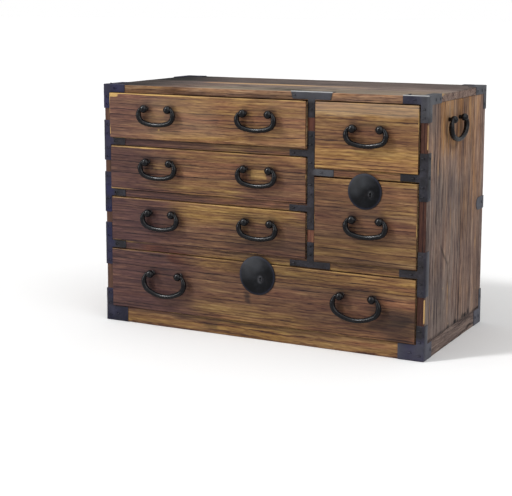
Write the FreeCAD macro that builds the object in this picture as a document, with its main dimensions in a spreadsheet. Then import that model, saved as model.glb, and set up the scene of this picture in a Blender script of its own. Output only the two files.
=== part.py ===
import FreeCAD, Part
import math
import os
import Sketcher

# Small chest of drawers with sheet-iron fittings. Millimetres, +Z up, the front looks along -Y.
# The origin is under the middle of the whole object, on the plane that it stands on.

doc = FreeCAD.newDocument("chest")
sheet = doc.addObject("Spreadsheet::Sheet", "Dims")

DIMS = [
    # carcass
    ("width", 760.0), ("depth", 372.0), ("height", 536.0), ("front_y", -172.35),
    ("side_thick", 16.0), ("top_thick", 17.0), ("back_thick", 10.0), ("plank_joint", 190.0),
    ("tongue", 5.0), ("base_high", 35.0), ("base_thick", 18.0), ("floor_thick", 8.0),
    ("rail_deep", 18.0), ("shelf_thick", 8.0), ("housing", 5.0), ("stub_back", 4.0), ("stub_shy", 3.0),
    ("divider_left", 120.0), ("divider_thick", 16.0), ("plank_gap", 0.4),
    # heights of the rails
    ("long_low", 169.0), ("long_top", 187.0),
    ("lower_left_low", 287.0), ("lower_left_top", 304.0),
    ("upper_left_low", 402.0), ("upper_left_top", 419.0),
    ("right_low", 364.0), ("right_top", 381.0),
    # drawers
    ("gap_side", 1.8), ("gap_top", 2.2), ("gap_foot", 0.5), ("proud", 5.0), ("proud_more", 8.0),
    ("front_thick", 18.0), ("lap", 12.0), ("wall", 9.0), ("pan", 6.0), ("wall_shy", 3.0), ("back_shy", 5.0),
    ("drawer_back", 348.0),
    # bails and posts
    ("rod", 4.2), ("bore_gap", 0.05), ("standoff", 11.5), ("ball", 9.0), ("ball_long", 9.0), ("standoff_long", 13.0),
    ("shank", 3.0), ("shank_hole", 3.1), ("collar", 5.6), ("collar_thick", 1.4), ("clinch", 6.0), ("clinch_thick", 1.5),
    ("post_half", 30.0), ("turn", 4.4), ("lean", 15.0), ("arm", 2.0), ("corner", 18.5), ("drop", 34.5),
    ("post_half_long", 35.5), ("turn_long", 5.5), ("lean_long", 25.0), ("arm_long", 4.0), ("corner_long", 23.0), ("drop_long", 47.5),
    ("post_half_side", 33.0), ("turn_side", 5.5), ("lean_side", 25.0), ("arm_side", 3.5), ("corner_side", 21.0), ("drop_side", 43.0),
    ("rod_shy", 0.5), ("mouth", 1.05), ("spike_in", 12.0), ("spike_hole", 12.6),
    # where the bails hang: distance from the left edge of the carcass, height of the axis
    ("upper_left_a", 144.5), ("upper_left_b", 387.5), ("upper_left_axis", 487.0),
    ("middle_left_a", 145.5), ("middle_left_b", 387.8), ("middle_left_axis", 369.5),
    ("lower_left_a", 150.0), ("lower_left_b", 390.5), ("lower_left_axis", 257.0),
    ("upper_right_a", 634.8), ("upper_right_axis", 467.0),
    ("lower_right_a", 636.5), ("lower_right_axis", 281.8),
    ("long_a", 160.6), ("long_b", 618.0), ("long_axis", 121.0),
    ("side_bail_y", 158.0), ("side_bail_axis", 481.0),
    # locks
    ("lock_rim", 1.2), ("lock_rise", 5.0), ("lock_hollow", 4.0), ("lock_lip", 4.0),
    ("small_plate", 37.2), ("small_lock_at", 630.5), ("small_lock_z", 339.5), ("small_key_x", 14.0), ("small_key_z", -5.0),
    ("large_plate", 42.5), ("large_lock_at", 386.5), ("large_lock_z", 141.5), ("large_key_x", 10.0), ("large_key_z", -6.0),
    ("key_wide", 3.4), ("key_tall", 10.0), ("boss_wide", 5.5), ("boss_tall", 7.5), ("boss_proud", 2.2),
    ("case_wide", 50.0), ("case_thick", 12.0), ("case_in", 8.0), ("case_tall", 38.0), ("case_top", 6.0),
    ("bolt_wide", 16.0), ("bolt_thick", 4.0), ("bolt_long", 34.0), ("bolt_play", 0.3), ("bolt_shy", 1.0), ("bolt_deep", 10.5),
    ("case_wall", 2.6),
    # ironwork
    ("iron", 1.2), ("strap", 15.8), ("wrap", 20.0), ("fold", 18.0), ("floor_clear", 0.6),
    ("nail_head", 2.2), ("nail_rise", 0.9), ("nail_shank", 0.9), ("nail_long", 6.0),
]
VALUES = {}
for row, (alias, value) in enumerate(DIMS, 1):
    sheet.set("A%d" % row, alias)
    sheet.set("B%d" % row, repr(value))
    sheet.setAlias("B%d" % row, alias)
    VALUES[alias] = value
doc.recompute()


class Val:
    """A length that carries its expression and its present value together."""

    def __init__(self, text, value):
        self.text = text
        self.value = float(value)

    @staticmethod
    def of(other):
        return other if isinstance(other, Val) else Val("%.6g" % other if other >= 0 else "(%.6g)" % other, other)

    def _join(self, other, sign, value):
        return Val("(%s %s %s)" % (self.text, sign, Val.of(other).text), value)

    def __add__(self, other):
        return self._join(other, "+", self.value + Val.of(other).value)

    def __radd__(self, other):
        return Val.of(other) + self

    def __sub__(self, other):
        return self._join(other, "-", self.value - Val.of(other).value)

    def __rsub__(self, other):
        return Val.of(other) - self

    def __mul__(self, other):
        return self._join(other, "*", self.value * Val.of(other).value)

    def __rmul__(self, other):
        return Val.of(other) * self

    def __truediv__(self, other):
        return self._join(other, "/", self.value / Val.of(other).value)

    def __neg__(self):
        return Val("(0 - %s)" % self.text, -self.value)


def dim(alias):
    return Val("Dims." + alias, VALUES[alias])


def sine(angle):
    return Val("sin(%s)" % angle.text, math.sin(math.radians(angle.value)))


def cosine(angle):
    return Val("cos(%s)" % angle.text, math.cos(math.radians(angle.value)))


def bind(obj, prop, val):
    val = Val.of(val)
    obj.setExpression(prop, val.text)


def place(obj, x, y, z):
    bind(obj, "Placement.Base.x", x)
    bind(obj, "Placement.Base.y", y)
    bind(obj, "Placement.Base.z", z)


NODES = []


def node(obj, label):
    obj.Label = label
    NODES.append(obj)
    return obj


def block(name, x, y, z):
    """A board or strip between two limits along each axis."""
    b = doc.addObject("Part::Box", name)
    place(b, x[0], y[0], z[0])
    bind(b, "Length", Val.of(x[1]) - x[0])
    bind(b, "Width", Val.of(y[1]) - y[0])
    bind(b, "Height", Val.of(z[1]) - z[0])
    return b


def rod_along(name, axis, radius, length, x, y, z):
    c = doc.addObject("Part::Cylinder", name)
    turn = {"x": ((0, 1, 0), 90), "y": ((1, 0, 0), -90), "z": ((0, 0, 1), 0)}[axis]
    c.Placement = FreeCAD.Placement(FreeCAD.Vector(), FreeCAD.Rotation(FreeCAD.Vector(*turn[0]), turn[1]))
    place(c, x, y, z)
    bind(c, "Radius", radius)
    bind(c, "Height", length)
    return c


def fuse(name, parts):
    if len(parts) == 1:
        return parts[0]
    f = doc.addObject("Part::MultiFuse", name)
    f.Shapes = parts
    f.Refine = True
    return f


def cut(name, base, tool):
    c = doc.addObject("Part::Cut", name)
    c.Base = base
    c.Tool = tool
    c.Refine = True
    return c


def group(name, parts):
    if len(parts) == 1:
        return parts[0]
    c = doc.addObject("Part::Compound", name)
    c.Links = parts
    return c


def rectangles(body, name, role, offset, rects):
    """A sketch of rectangles on one of the body's own planes, each side bound to the sheet."""
    plane = [f for f in body.Origin.OriginFeatures if f.Role == role][0]
    s = body.newObject("Sketcher::SketchObject", name)
    s.AttachmentSupport = [(plane, "")]
    s.MapMode = "FlatFace"
    bind(s, "AttachmentOffset.Base.z", offset)
    line = Part.LineSegment
    for u0, u1, v0, v1 in rects:
        u0, u1, v0, v1 = (Val.of(q) for q in (u0, u1, v0, v1))
        p = [FreeCAD.Vector(u.value, v.value, 0) for u, v in ((u0, v0), (u1, v0), (u1, v1), (u0, v1))]
        g = s.addGeometry([line(p[i], p[(i + 1) % 4]) for i in range(4)], False)
        for i in range(4):
            s.addConstraint(Sketcher.Constraint("Coincident", g[i], 2, g[(i + 1) % 4], 1))
        s.addConstraint(Sketcher.Constraint("Horizontal", g[0]))
        s.addConstraint(Sketcher.Constraint("Horizontal", g[2]))
        s.addConstraint(Sketcher.Constraint("Vertical", g[1]))
        s.addConstraint(Sketcher.Constraint("Vertical", g[3]))
        for kind, geo, val in (("DistanceX", g[0], u0), ("DistanceX", g[2], u1), ("DistanceY", g[0], v0), ("DistanceY", g[2], v1)):
            c = s.addConstraint(Sketcher.Constraint(kind, -1, 1, geo, 1, val.value))
            s.setExpression("Constraints[%d]" % c, val.text)
    return s


def circles(body, name, role, offset, centres, radius):
    """A sketch of equal circles on one of the body's own planes."""
    plane = [f for f in body.Origin.OriginFeatures if f.Role == role][0]
    s = body.newObject("Sketcher::SketchObject", name)
    s.AttachmentSupport = [(plane, "")]
    s.MapMode = "FlatFace"
    bind(s, "AttachmentOffset.Base.z", offset)
    for u, v in centres:
        g = s.addGeometry(Part.Circle(FreeCAD.Vector(u.value, v.value, 0), FreeCAD.Vector(0, 0, 1), radius.value), False)
        for kind, val in (("DistanceX", u), ("DistanceY", v)):
            c = s.addConstraint(Sketcher.Constraint(kind, -1, 1, g, 3, val.value))
            s.setExpression("Constraints[%d]" % c, val.text)
        c = s.addConstraint(Sketcher.Constraint("Radius", g, radius.value))
        s.setExpression("Constraints[%d]" % c, radius.text)
    return s


def pad(body, name, sketch, length, reverse=False):
    p = body.newObject("PartDesign::Pad", name)
    p.Profile = sketch
    bind(p, "Length", length)
    p.Reversed = reverse
    return p


def pocket(body, name, sketch, length, reverse=False):
    p = body.newObject("PartDesign::Pocket", name)
    p.Profile = sketch
    bind(p, "Length", length)
    p.Reversed = reverse
    return p


W, D, H, Y0 = dim("width"), dim("depth"), dim("height"), dim("front_y")
HALF = W / 2
side, top, iron = dim("side_thick"), dim("top_thick"), dim("iron")
inner = HALF - side
ceiling = H - top
base_high, base_thick = dim("base_high"), dim("base_thick")
rail_deep, shelf, housing = dim("rail_deep"), dim("shelf_thick"), dim("housing")
shy, stub_back = dim("stub_shy"), dim("stub_back")
back_y = Y0 + D
shelf_back = back_y - dim("back_thick")
rail_back = Y0 + rail_deep
div_l = dim("divider_left")
div_r = div_l + dim("divider_thick")
long_low, long_top = dim("long_low"), dim("long_top")
RAILS_LEFT = [(dim("lower_left_low"), dim("lower_left_top")), (dim("upper_left_low"), dim("upper_left_top"))]
RAIL_RIGHT = (dim("right_low"), dim("right_top"))


def housing_shapes(levels):
    """Where a shelf and the stub of the rail in front of it are let into an upright board."""
    return [(Y0 + stub_back, shelf_back, high - shelf, high) for low, high in levels]


def upright(label, x_low, thick, z_low, z_high, left_levels, right_levels, spikes=0):
    """An upright board across the depth of the carcass, housed on the sides that carry rails.
    spikes is -1 or 1 where its left or right face is drilled for the spikes of a carrying bail."""
    body = doc.addObject("PartDesign::Body", label + "_body")
    s = rectangles(body, label + "_outline", "YZ_Plane", x_low, [(Y0, shelf_back if label == "centre_divider" else back_y, z_low, z_high)])
    last = pad(body, label + "_pad", s, thick)
    if left_levels:
        s = rectangles(body, label + "_left_housings", "YZ_Plane", x_low, housing_shapes(left_levels))
        last = pocket(body, label + "_left_cut", s, housing, True)
    if right_levels:
        s = rectangles(body, label + "_right_housings", "YZ_Plane", x_low + thick, housing_shapes(right_levels))
        last = pocket(body, label + "_right_cut", s, housing)
    if spikes:
        s = circles(body, label + "_spike_marks", "YZ_Plane", x_low if spikes < 0 else x_low + thick, [
            (Y0 + dim("side_bail_y") - dim("post_half_side"), dim("side_bail_axis")),
            (Y0 + dim("side_bail_y") + dim("post_half_side"), dim("side_bail_axis")),
        ], dim("shank_hole"))
        last = pocket(body, label + "_spike_holes", s, dim("spike_hole"), spikes < 0)
    body.Tip = last
    return node(body, label)


# --- carcass -------------------------------------------------------------------------------------
LONG = (long_low, long_top)
upright("side_panel_left", -HALF, side, base_high, ceiling, [], [LONG] + RAILS_LEFT, -1)
upright("side_panel_right", inner, side, base_high, ceiling, [LONG, RAIL_RIGHT], [], 1)
upright("centre_divider", div_l, dim("divider_thick"), long_top, ceiling, RAILS_LEFT, [RAIL_RIGHT])

joint_y = Y0 + dim("plank_joint")
third = top / 3


def top_plank(label, y_low, y_high, tongue_side):
    """The two planks of the top meet in a tongue and groove along the chest."""
    body = doc.addObject("PartDesign::Body", label + "_body")
    s = rectangles(body, label + "_outline", "YZ_Plane", -HALF, [(y_low, y_high, ceiling, H)])
    last = pad(body, label + "_pad", s, W)
    if tongue_side:
        s = rectangles(body, label + "_tongue", "YZ_Plane", -HALF, [(y_high, y_high + dim("tongue"), ceiling + third, H - third)])
        last = pad(body, label + "_tongue_pad", s, W)
    else:
        s = rectangles(body, label + "_groove", "YZ_Plane", HALF, [(y_low, y_low + dim("tongue"), ceiling + third, H - third)])
        last = pocket(body, label + "_groove_cut", s, W)
    body.Tip = last
    return node(body, label)


top_plank("top_plank_front", Y0, joint_y, True)
top_plank("top_plank_rear", joint_y, back_y, False)

gap = dim("plank_gap")
plank = (ceiling - base_high) / 3
node(group("back_set", [
    block("back_board_%d" % i, (-inner, inner), (shelf_back, back_y), (base_high + plank * i, base_high + plank * (i + 1) - (gap if i < 2 else 0)))
    for i in range(3)
]), "back_planks")

floor_low = base_high - dim("floor_thick")
node(block("floor", (-HALF + base_thick, HALF - base_thick), (rail_back, back_y - base_thick), (floor_low, base_high)), "bottom_board")
node(block("base_front", (-HALF, HALF), (Y0, rail_back), (0, base_high)), "base_rail_front")
node(group("base_set", [
    block("base_left", (-HALF, -HALF + base_thick), (rail_back, back_y), (0, base_high)),
    block("base_right", (HALF - base_thick, HALF), (rail_back, back_y), (0, base_high)),
    block("base_back", (-HALF + base_thick, HALF - base_thick), (back_y - base_thick, back_y), (0, base_high)),
]), "base_rails")


def rail(name, x, z):
    """A rail on the front with a tongue at each end, as thick as the shelf behind it."""
    return fuse(name, [
        block(name + "_bar", x, (Y0, rail_back), z),
        block(name + "_stub", (x[0] - housing, x[1] + housing), (Y0 + stub_back, rail_back), (z[1] - shelf, z[1])),
    ])


def keeper(name, rail_obj, at, low):
    """The mortise in the underside of a rail that a lock's bolt rises into."""
    play = dim("bolt_play") * 2
    half = dim("bolt_wide") / 2 + play
    y = Y0 - dim("proud") + dim("front_thick") - dim("case_in") + dim("case_wall")
    return cut(name, rail_obj, block(name + "_mortise", (at - half, at + half), (y - play, y + dim("bolt_thick") + play), (low - 1, low + dim("bolt_deep"))))


small_at, large_at = dim("small_lock_at") - HALF, dim("large_lock_at") - HALF
node(keeper("rail_long_cut", rail("rail_long_blank", (-inner, inner), LONG), large_at, long_low), "rail_long")
node(group("rails_short_set", [
    keeper("rail_right_cut", rail("rail_right_blank", (div_r, inner), RAIL_RIGHT), small_at, RAIL_RIGHT[0]),
] + [rail("rail_left_%d" % i, (-inner, div_l), z) for i, z in enumerate(RAILS_LEFT)]), "rails_short")


def shelf_board(name, x, high):
    return block(name, (x[0] - housing, x[1] + housing), (rail_back, shelf_back), (high - shelf, high))


node(group("shelf_set", [
    shelf_board("shelf_long", (-inner, inner), long_top),
    shelf_board("shelf_left_low", (-inner, div_l), RAILS_LEFT[0][1]),
    shelf_board("shelf_left_high", (-inner, div_l), RAILS_LEFT[1][1]),
    shelf_board("shelf_right", (div_r, inner), RAIL_RIGHT[1]),
]), "dust_shelves")

# --- posts and bails -----------------------------------------------------------------------------
SIZES = {
    "small": dict(half="post_half", turn="turn", lean="lean", arm="arm", corner="corner", drop="drop", ball="ball", standoff="standoff"),
    "long": dict(half="post_half_long", turn="turn_long", lean="lean_long", arm="arm_long", corner="corner_long", drop="drop_long", ball="ball_long", standoff="standoff_long"),
    "side": dict(half="post_half_side", turn="turn_side", lean="lean_side", arm="arm_side", corner="corner_side", drop="drop_side", ball="ball", standoff="standoff"),
}
SHEET_SIZES = {k: {p: dim(a) for p, a in v.items()} for k, v in SIZES.items()}
R_ROD = dim("rod")


def turned(facing, along, out):
    """Row-frame X and Y of a point 'along' the hinge axis and 'out' in front of the face, for a fitting that faces that way."""
    if facing == "front":
        return along, -out
    if facing == "right":
        return out, along
    return -out, -along


ANGLE = {"front": 0.0, "right": 90.0, "left": -90.0}


def post(name, size, facing, x, y, z, thick, sign):
    """A ball-headed eye post: head bored for the bail, collar on the face and a shank.
    On a drawer the shank goes through the front and is clinched over a washer; on the carcass it is a spike that stops in the wood."""
    q = SHEET_SIZES[size]
    axis_of_shank = "y" if facing == "front" else "x"
    axis_of_bore = "x" if facing == "front" else "y"
    ball, stand = q["ball"], q["standoff"]
    ax, ay = turned(facing, q["half"] * sign, stand)
    head = doc.addObject("Part::Sphere", name + "_head")
    place(head, x + ax, y + ay, z)
    bind(head, "Radius", ball)

    def bar(tag, radius, start, length):
        """A cylinder whose axis stands square on the face, from 'start' in front of it, running inwards."""
        sx, sy = turned(facing, q["half"] * sign, start)
        if facing == "right":
            sx = sx - length
        return rod_along(name + tag, axis_of_shank, radius, length, x + sx, y + sy, z)

    inside = dim("clinch_thick")
    solids = [head, bar("_collar", dim("collar"), dim("collar_thick"), dim("collar_thick"))]
    if facing == "front":
        solids += [bar("_shank", dim("shank"), stand, stand + thick + inside * 2), bar("_washer", dim("clinch"), -thick, inside)]
    else:
        solids += [bar("_shank", dim("shank"), stand, stand + dim("spike_in"))]
    body = fuse(name + "_body", solids)
    bx, by = turned(facing, q["half"] * sign - ball * 1.5, stand)
    if facing == "left":
        by = by - ball * 3
    return cut(name, body, rod_along(name + "_bore", axis_of_bore, R_ROD + dim("bore_gap"), ball * 3, x + bx, y + by, z))


def bail(label, size, facing, x, y, z):
    """A round rod bent into a bail: its ends lie in the eyes, its arms turn down and outwards from them, and a flat bow joins the arms."""
    q = SHEET_SIZES[size]
    half, turn, lean, arm, corner, drop, ball = (q[k] for k in ("half", "turn", "lean", "arm", "corner", "drop", "ball"))
    start = half - ball + dim("rod_shy")
    out = half + ball - dim("mouth")
    si, co = sine(lean), cosine(lean)
    side_c = out + turn * co + arm * si - corner * co
    down_c = turn - turn * si + arm * co + corner * si
    tall = drop - down_c
    bow = (side_c * side_c + tall * tall - corner * corner) / (2 * (tall - corner))
    ox, oy = turned(facing, Val.of(0), q["standoff"])
    rot = FreeCAD.Rotation(FreeCAD.Vector(0, 0, 1), ANGLE[facing])
    s = doc.addObject("Sketcher::SketchObject", label + "_line")
    s.Placement = FreeCAD.Placement(FreeCAD.Vector(), rot.multiply(FreeCAD.Rotation(FreeCAD.Vector(1, 0, 0), 90)))
    place(s, x + ox, y + oy, z)
    V = FreeCAD.Vector
    n = V(0, 0, 1)
    a, o, t, m, c, d, r, cx, cz = (k.value for k in (start, out, turn, arm, corner, drop, bow, side_c, -down_c))
    f = math.radians(lean.value)
    bend = math.atan2(cz - (r - d), cx)
    ex, ez = o + t * math.cos(f), -t + t * math.sin(f)
    hx, hz = ex + m * math.sin(f), ez - m * math.cos(f)

    def arc(px, py, radius, a0, a1):
        return Part.ArcOfCircle(Part.Circle(V(px, py, 0), n, radius), a0, a1)

    g = s.addGeometry([
        Part.LineSegment(V(a, 0, 0), V(o, 0, 0)),
        arc(o, -t, t, f, math.pi / 2),
        Part.LineSegment(V(ex, ez, 0), V(hx, hz, 0)),
        arc(cx, cz, c, bend, f),
        arc(0, r - d, r, -math.pi - bend, bend),
        arc(-cx, cz, c, math.pi - f, math.pi - bend),
        Part.LineSegment(V(-hx, hz, 0), V(-ex, ez, 0)),
        arc(-o, -t, t, math.pi / 2, math.pi - f),
        Part.LineSegment(V(-o, 0, 0), V(-a, 0, 0)),
    ], False)
    C = Sketcher.Constraint
    for one in [C("Tangent", 0, 2, 1, 2), C("Tangent", 1, 1, 2, 1), C("Tangent", 2, 2, 3, 2), C("Tangent", 3, 1, 4, 2), C("Tangent", 4, 1, 5, 2),
                C("Tangent", 5, 1, 6, 1), C("Tangent", 6, 2, 7, 2), C("Tangent", 7, 1, 8, 1),
                C("PointOnObject", 0, 1, -1), C("PointOnObject", 0, 2, -1), C("PointOnObject", 8, 2, -1), C("PointOnObject", 8, 1, -1),
                C("Equal", 1, 7), C("Equal", 3, 5), C("Equal", 2, 6), C("PointOnObject", 4, 3, -2)]:
        s.addConstraint(one)
    for con, val in [(C("DistanceX", -1, 1, 0, 1, a), start), (C("DistanceX", -1, 1, 0, 2, o), out), (C("DistanceX", 8, 2, -1, 1, a), start),
                     (C("DistanceX", 8, 1, -1, 1, o), out), (C("Radius", 1, t), turn), (C("Distance", 2, m), arm), (C("Radius", 3, c), corner),
                     (C("Radius", 4, r), bow), (C("DistanceY", -1, 1, 4, 3, r - d), bow - drop)]:
        i = s.addConstraint(con)
        s.setExpression("Constraints[%d]" % i, val.text)
    ring = doc.addObject("Part::Circle", label + "_section")
    ring.Placement = FreeCAD.Placement(V(), rot.multiply(FreeCAD.Rotation(V(0, 1, 0), 90)))
    sx, sy = turned(facing, start, q["standoff"])
    place(ring, x + sx, y + sy, z)
    bind(ring, "Radius", R_ROD)
    sweep = doc.addObject("Part::Sweep", label + "_sweep")
    sweep.Sections = [ring]
    sweep.Spine = (s, ["Edge%d" % (i + 1) for i in range(9)])
    sweep.Solid = True
    sweep.Frenet = False
    sweep.Transition = "Transformed"
    return node(sweep, label)


# --- drawers -------------------------------------------------------------------------------------
PROUD, MORE = dim("proud"), dim("proud_more")
LEFT_X, RIGHT_X, WHOLE_X = (-inner, div_l), (div_r, inner), (-inner, inner)
DRAWERS = [
    # name, opening across, opening up, how proud, bails, size
    ("upper_left", LEFT_X, (RAILS_LEFT[1][1], ceiling), MORE, ("a", "b"), "small", None),
    ("middle_left", LEFT_X, (RAILS_LEFT[0][1], RAILS_LEFT[1][0]), PROUD, ("a", "b"), "small", None),
    ("lower_left", LEFT_X, (long_top, RAILS_LEFT[0][0]), PROUD, ("a", "b"), "small", None),
    ("upper_right", RIGHT_X, (RAIL_RIGHT[1], ceiling), PROUD, ("a",), "small", None),
    ("lower_right", RIGHT_X, (long_top, RAIL_RIGHT[0]), PROUD, ("a",), "small", "small"),
    ("long", WHOLE_X, (base_high, long_low), PROUD, ("a", "b"), "long", "large"),
]
front_thick, lap, wall, pan = dim("front_thick"), dim("lap"), dim("wall"), dim("pan")
case_wide, case_thick, case_in, case_tall = dim("case_wide"), dim("case_thick"), dim("case_in"), dim("case_tall")
bolt_play, case_wall = dim("bolt_play"), dim("case_wall")

for name, xs, zs, proud, marks, size, lock in DRAWERS:
    face = Y0 - proud
    inside = face + front_thick
    x0, x1 = xs[0] + dim("gap_side"), xs[1] - dim("gap_side")
    z0, z1 = zs[0] + dim("gap_foot"), zs[1] - dim("gap_top")
    wall_top = zs[1] - dim("wall_shy")
    wall_low = z0 + pan
    end = Y0 + dim("drawer_back")
    q = SHEET_SIZES[size]
    d = "drawer_" + name
    axis_z = dim(name + "_axis")
    places = [dim("%s_%s" % (name, k)) - HALF for k in marks]

    tools = [
        block(d + "_rebate_l", (x0 - 1, x0 + wall), (inside - lap, inside + 1), (wall_low, wall_top)),
        block(d + "_rebate_r", (x1 - wall, x1 + 1), (inside - lap, inside + 1), (wall_low, wall_top)),
    ]
    for i, px in enumerate(places):
        for sign in (-1, 1):
            tools.append(rod_along("%s_hole_%d%s" % (d, i, "l" if sign < 0 else "r"), "y", dim("shank_hole"), front_thick + 2, px + q["half"] * sign, face - 1, axis_z))
    if lock:
        lx = dim(lock + "_lock_at") - HALF
        lz = dim(lock + "_lock_z")
        kx, kz = lx + dim(lock + "_key_x"), lz + dim(lock + "_key_z")
        case_y = inside - case_in
        case_high = z1 - dim("case_top")
        half_bolt = dim("bolt_wide") / 2
        bolt_y = case_y + case_wall
        key = (kx - dim("key_wide") / 2, kx + dim("key_wide") / 2)
        key_up = (kz - dim("key_tall") / 2, kz + dim("key_tall") / 2)
        tools.append(block(d + "_lock_seat", (lx - case_wide / 2, lx + case_wide / 2), (case_y, inside + 1), (case_high - case_tall, case_high)))
        tools.append(block(d + "_bolt_way", (lx - half_bolt - bolt_play, lx + half_bolt + bolt_play), (bolt_y - bolt_play, bolt_y + dim("bolt_thick") + bolt_play), (case_high - 1, z1 + 1)))
        tools.append(block(d + "_key_way", key, (face - 1, case_y + 1), key_up))
    node(cut(d + "_front_cut", block(d + "_board", (x0, x1), (face, inside), (z0, z1)), fuse(d + "_front_tools", tools)), d + "_front")

    node(group(d + "_walls", [
        block(d + "_left_wall", (x0, x0 + wall), (inside - lap, end), (wall_low, wall_top)),
        block(d + "_right_wall", (x1 - wall, x1), (inside - lap, end), (wall_low, wall_top)),
        block(d + "_back_wall", (x0 + wall, x1 - wall), (end - wall, end), (wall_low, wall_top - dim("back_shy"))),
    ]), d + "_box")
    node(block(d + "_pan", (x0, x1), (inside, end), (z0, wall_low)), d + "_bottom")

    posts = []
    for i, px in enumerate(places):
        for sign in (-1, 1):
            posts.append(post("%s_post_%d%s" % (d, i, "l" if sign < 0 else "r"), size, "front", px, face, axis_z, front_thick, sign))
    node(group(d + "_posts", posts), "posts_" + name)
    for k, px in zip(marks, places):
        bail("bail_%s%s" % (name, "_" + {"a": "left", "b": "right"}[k] if len(marks) == 2 else ""), size, "front", px, face, axis_z)

    if lock:
        # the escutcheon: a shallow hollow dome with a raised keyhole
        radius = dim(lock + "_plate")
        rise, rim = dim("lock_rise"), dim("lock_rim")
        ball_r = (radius * radius + rise * rise) / (2 * rise)
        dome = doc.addObject("Part::Sphere", d + "_dome_ball")
        place(dome, lx, face - rim - rise + ball_r, lz)
        bind(dome, "Radius", ball_r)
        drum = rod_along(d + "_dome_drum", "y", radius, rise + rim + 1, lx, face - rise - rim - 1, lz)
        cap = doc.addObject("Part::MultiCommon", d + "_dome")
        cap.Shapes = [dome, drum]
        boss = doc.addObject("Part::Ellipsoid", d + "_boss")
        place(boss, kx, face - rise - rim + dim("boss_proud") * 0.4, kz)
        bind(boss, "Radius1", dim("boss_tall"))
        bind(boss, "Radius2", dim("boss_wide"))
        bind(boss, "Radius3", dim("boss_proud"))
        hollow_r = radius - dim("lock_lip")
        depth = dim("lock_hollow")
        inner_r = (hollow_r * hollow_r + depth * depth) / (2 * depth)
        well_ball = doc.addObject("Part::Sphere", d + "_well_ball")
        place(well_ball, lx, face - depth + inner_r, lz)
        bind(well_ball, "Radius", inner_r)
        well_drum = rod_along(d + "_well_drum", "y", hollow_r + 1, depth + 1, lx, face - depth - 1, lz)
        well = doc.addObject("Part::MultiCommon", d + "_well")
        well.Shapes = [well_ball, well_drum]
        slot = block(d + "_slot", key, (face - rise - rim - 6, face + 1), key_up)
        node(cut(d + "_plate", fuse(d + "_plate_body", [cap, boss]), fuse(d + "_plate_tools", [well, slot])), "lock_plate_" + lock)
        # the case behind it, with the channel its bolt slides in
        channel = block(d + "_channel", (lx - half_bolt - bolt_play, lx + half_bolt + bolt_play), (bolt_y - bolt_play, bolt_y + dim("bolt_thick") + bolt_play), (z1 - dim("bolt_shy") - dim("bolt_long") - bolt_play, case_high + 1))
        key_in = block(d + "_case_key", key, (case_y - 1, case_y + case_thick - 2), key_up)
        node(cut(d + "_case_cut", block(d + "_case", (lx - case_wide / 2, lx + case_wide / 2), (case_y, case_y + case_thick), (case_high - case_tall, case_high)), fuse(d + "_case_tools", [channel, key_in])), "lock_case_" + lock)
        node(block(d + "_bolt", (lx - half_bolt, lx + half_bolt), (bolt_y, bolt_y + dim("bolt_thick")), (z1 - dim("bolt_shy") - dim("bolt_long"), z1 - dim("bolt_shy"))), "lock_bolt_" + lock)

# --- the carrying bails on the two sides ------------------------------------------------------------
side_y, side_z = Y0 + dim("side_bail_y"), dim("side_bail_axis")
side_posts = []
for facing, x in (("left", -HALF), ("right", HALF)):
    for sign in (-1, 1):
        side_posts.append(post("side_post_%s_%s" % (facing, "a" if sign < 0 else "b"), "side", facing, x, side_y, side_z, side, sign))
    bail("bail_side_" + facing, "side", facing, x, side_y, side_z)
node(group("side_posts_set", side_posts), "posts_sides")

# --- ironwork: strips of sheet iron folded round the edges ---------------------------------------------
strap, wrap, fold, clear = dim("strap"), dim("wrap"), dim("fold"), dim("floor_clear")
FRONT = (Y0 - iron, Y0)
TOP = (H, H + iron)


def across(a, b, hand):
    """Limits across the front between two distances from the side edge, for the left or the right hand."""
    return (-HALF + a, -HALF + b) if hand < 0 else (HALF - b, HALF - a)


def skin(hand):
    """The thickness of the sheet where it lies on a side panel."""
    return (-HALF - iron, -HALF) if hand < 0 else (HALF, HALF + iron)


def mark(hand):
    return "l" if hand < 0 else "r"


def front_strip(name, hand, z, legs, wide=None, deep=None):
    """A strip up the front edge that folds onto the side, with a leg along each rail it crosses."""
    wide = strap if wide is None else wide
    parts = [
        block(name + "_face", across(-iron, wide, hand), FRONT, z),
        block(name + "_return", skin(hand), (Y0 - iron, Y0 + (wrap if deep is None else deep)), z),
    ]
    for i, (reach, lz) in enumerate(legs):
        parts.append(block("%s_leg%d" % (name, i), across(-iron, reach, hand), FRONT, lz))
    return parts


stiles = []
for i, (low, high, reach, leg_low, leg_high) in enumerate([(367, 457, 53, 402.6, 418.4), (250, 341, 53, 287.6, 303.4), (130, 226, 52, 170, 186)]):
    stiles.append(fuse("stile_left_%d" % i, front_strip("stile_left_%d" % i, -1, (low, high), [(reach, (leg_low, leg_high))])))
for i, (low, high, reach, leg_low, leg_high) in enumerate([(327, 423, 56, 364.8, 380.2), (133, 225, 55, 170, 186)]):
    stiles.append(fuse("stile_right_%d" % i, front_strip("stile_right_%d" % i, 1, (low, high), [(reach, (leg_low, leg_high))])))
node(group("stile_set", stiles), "stile_irons")

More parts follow.
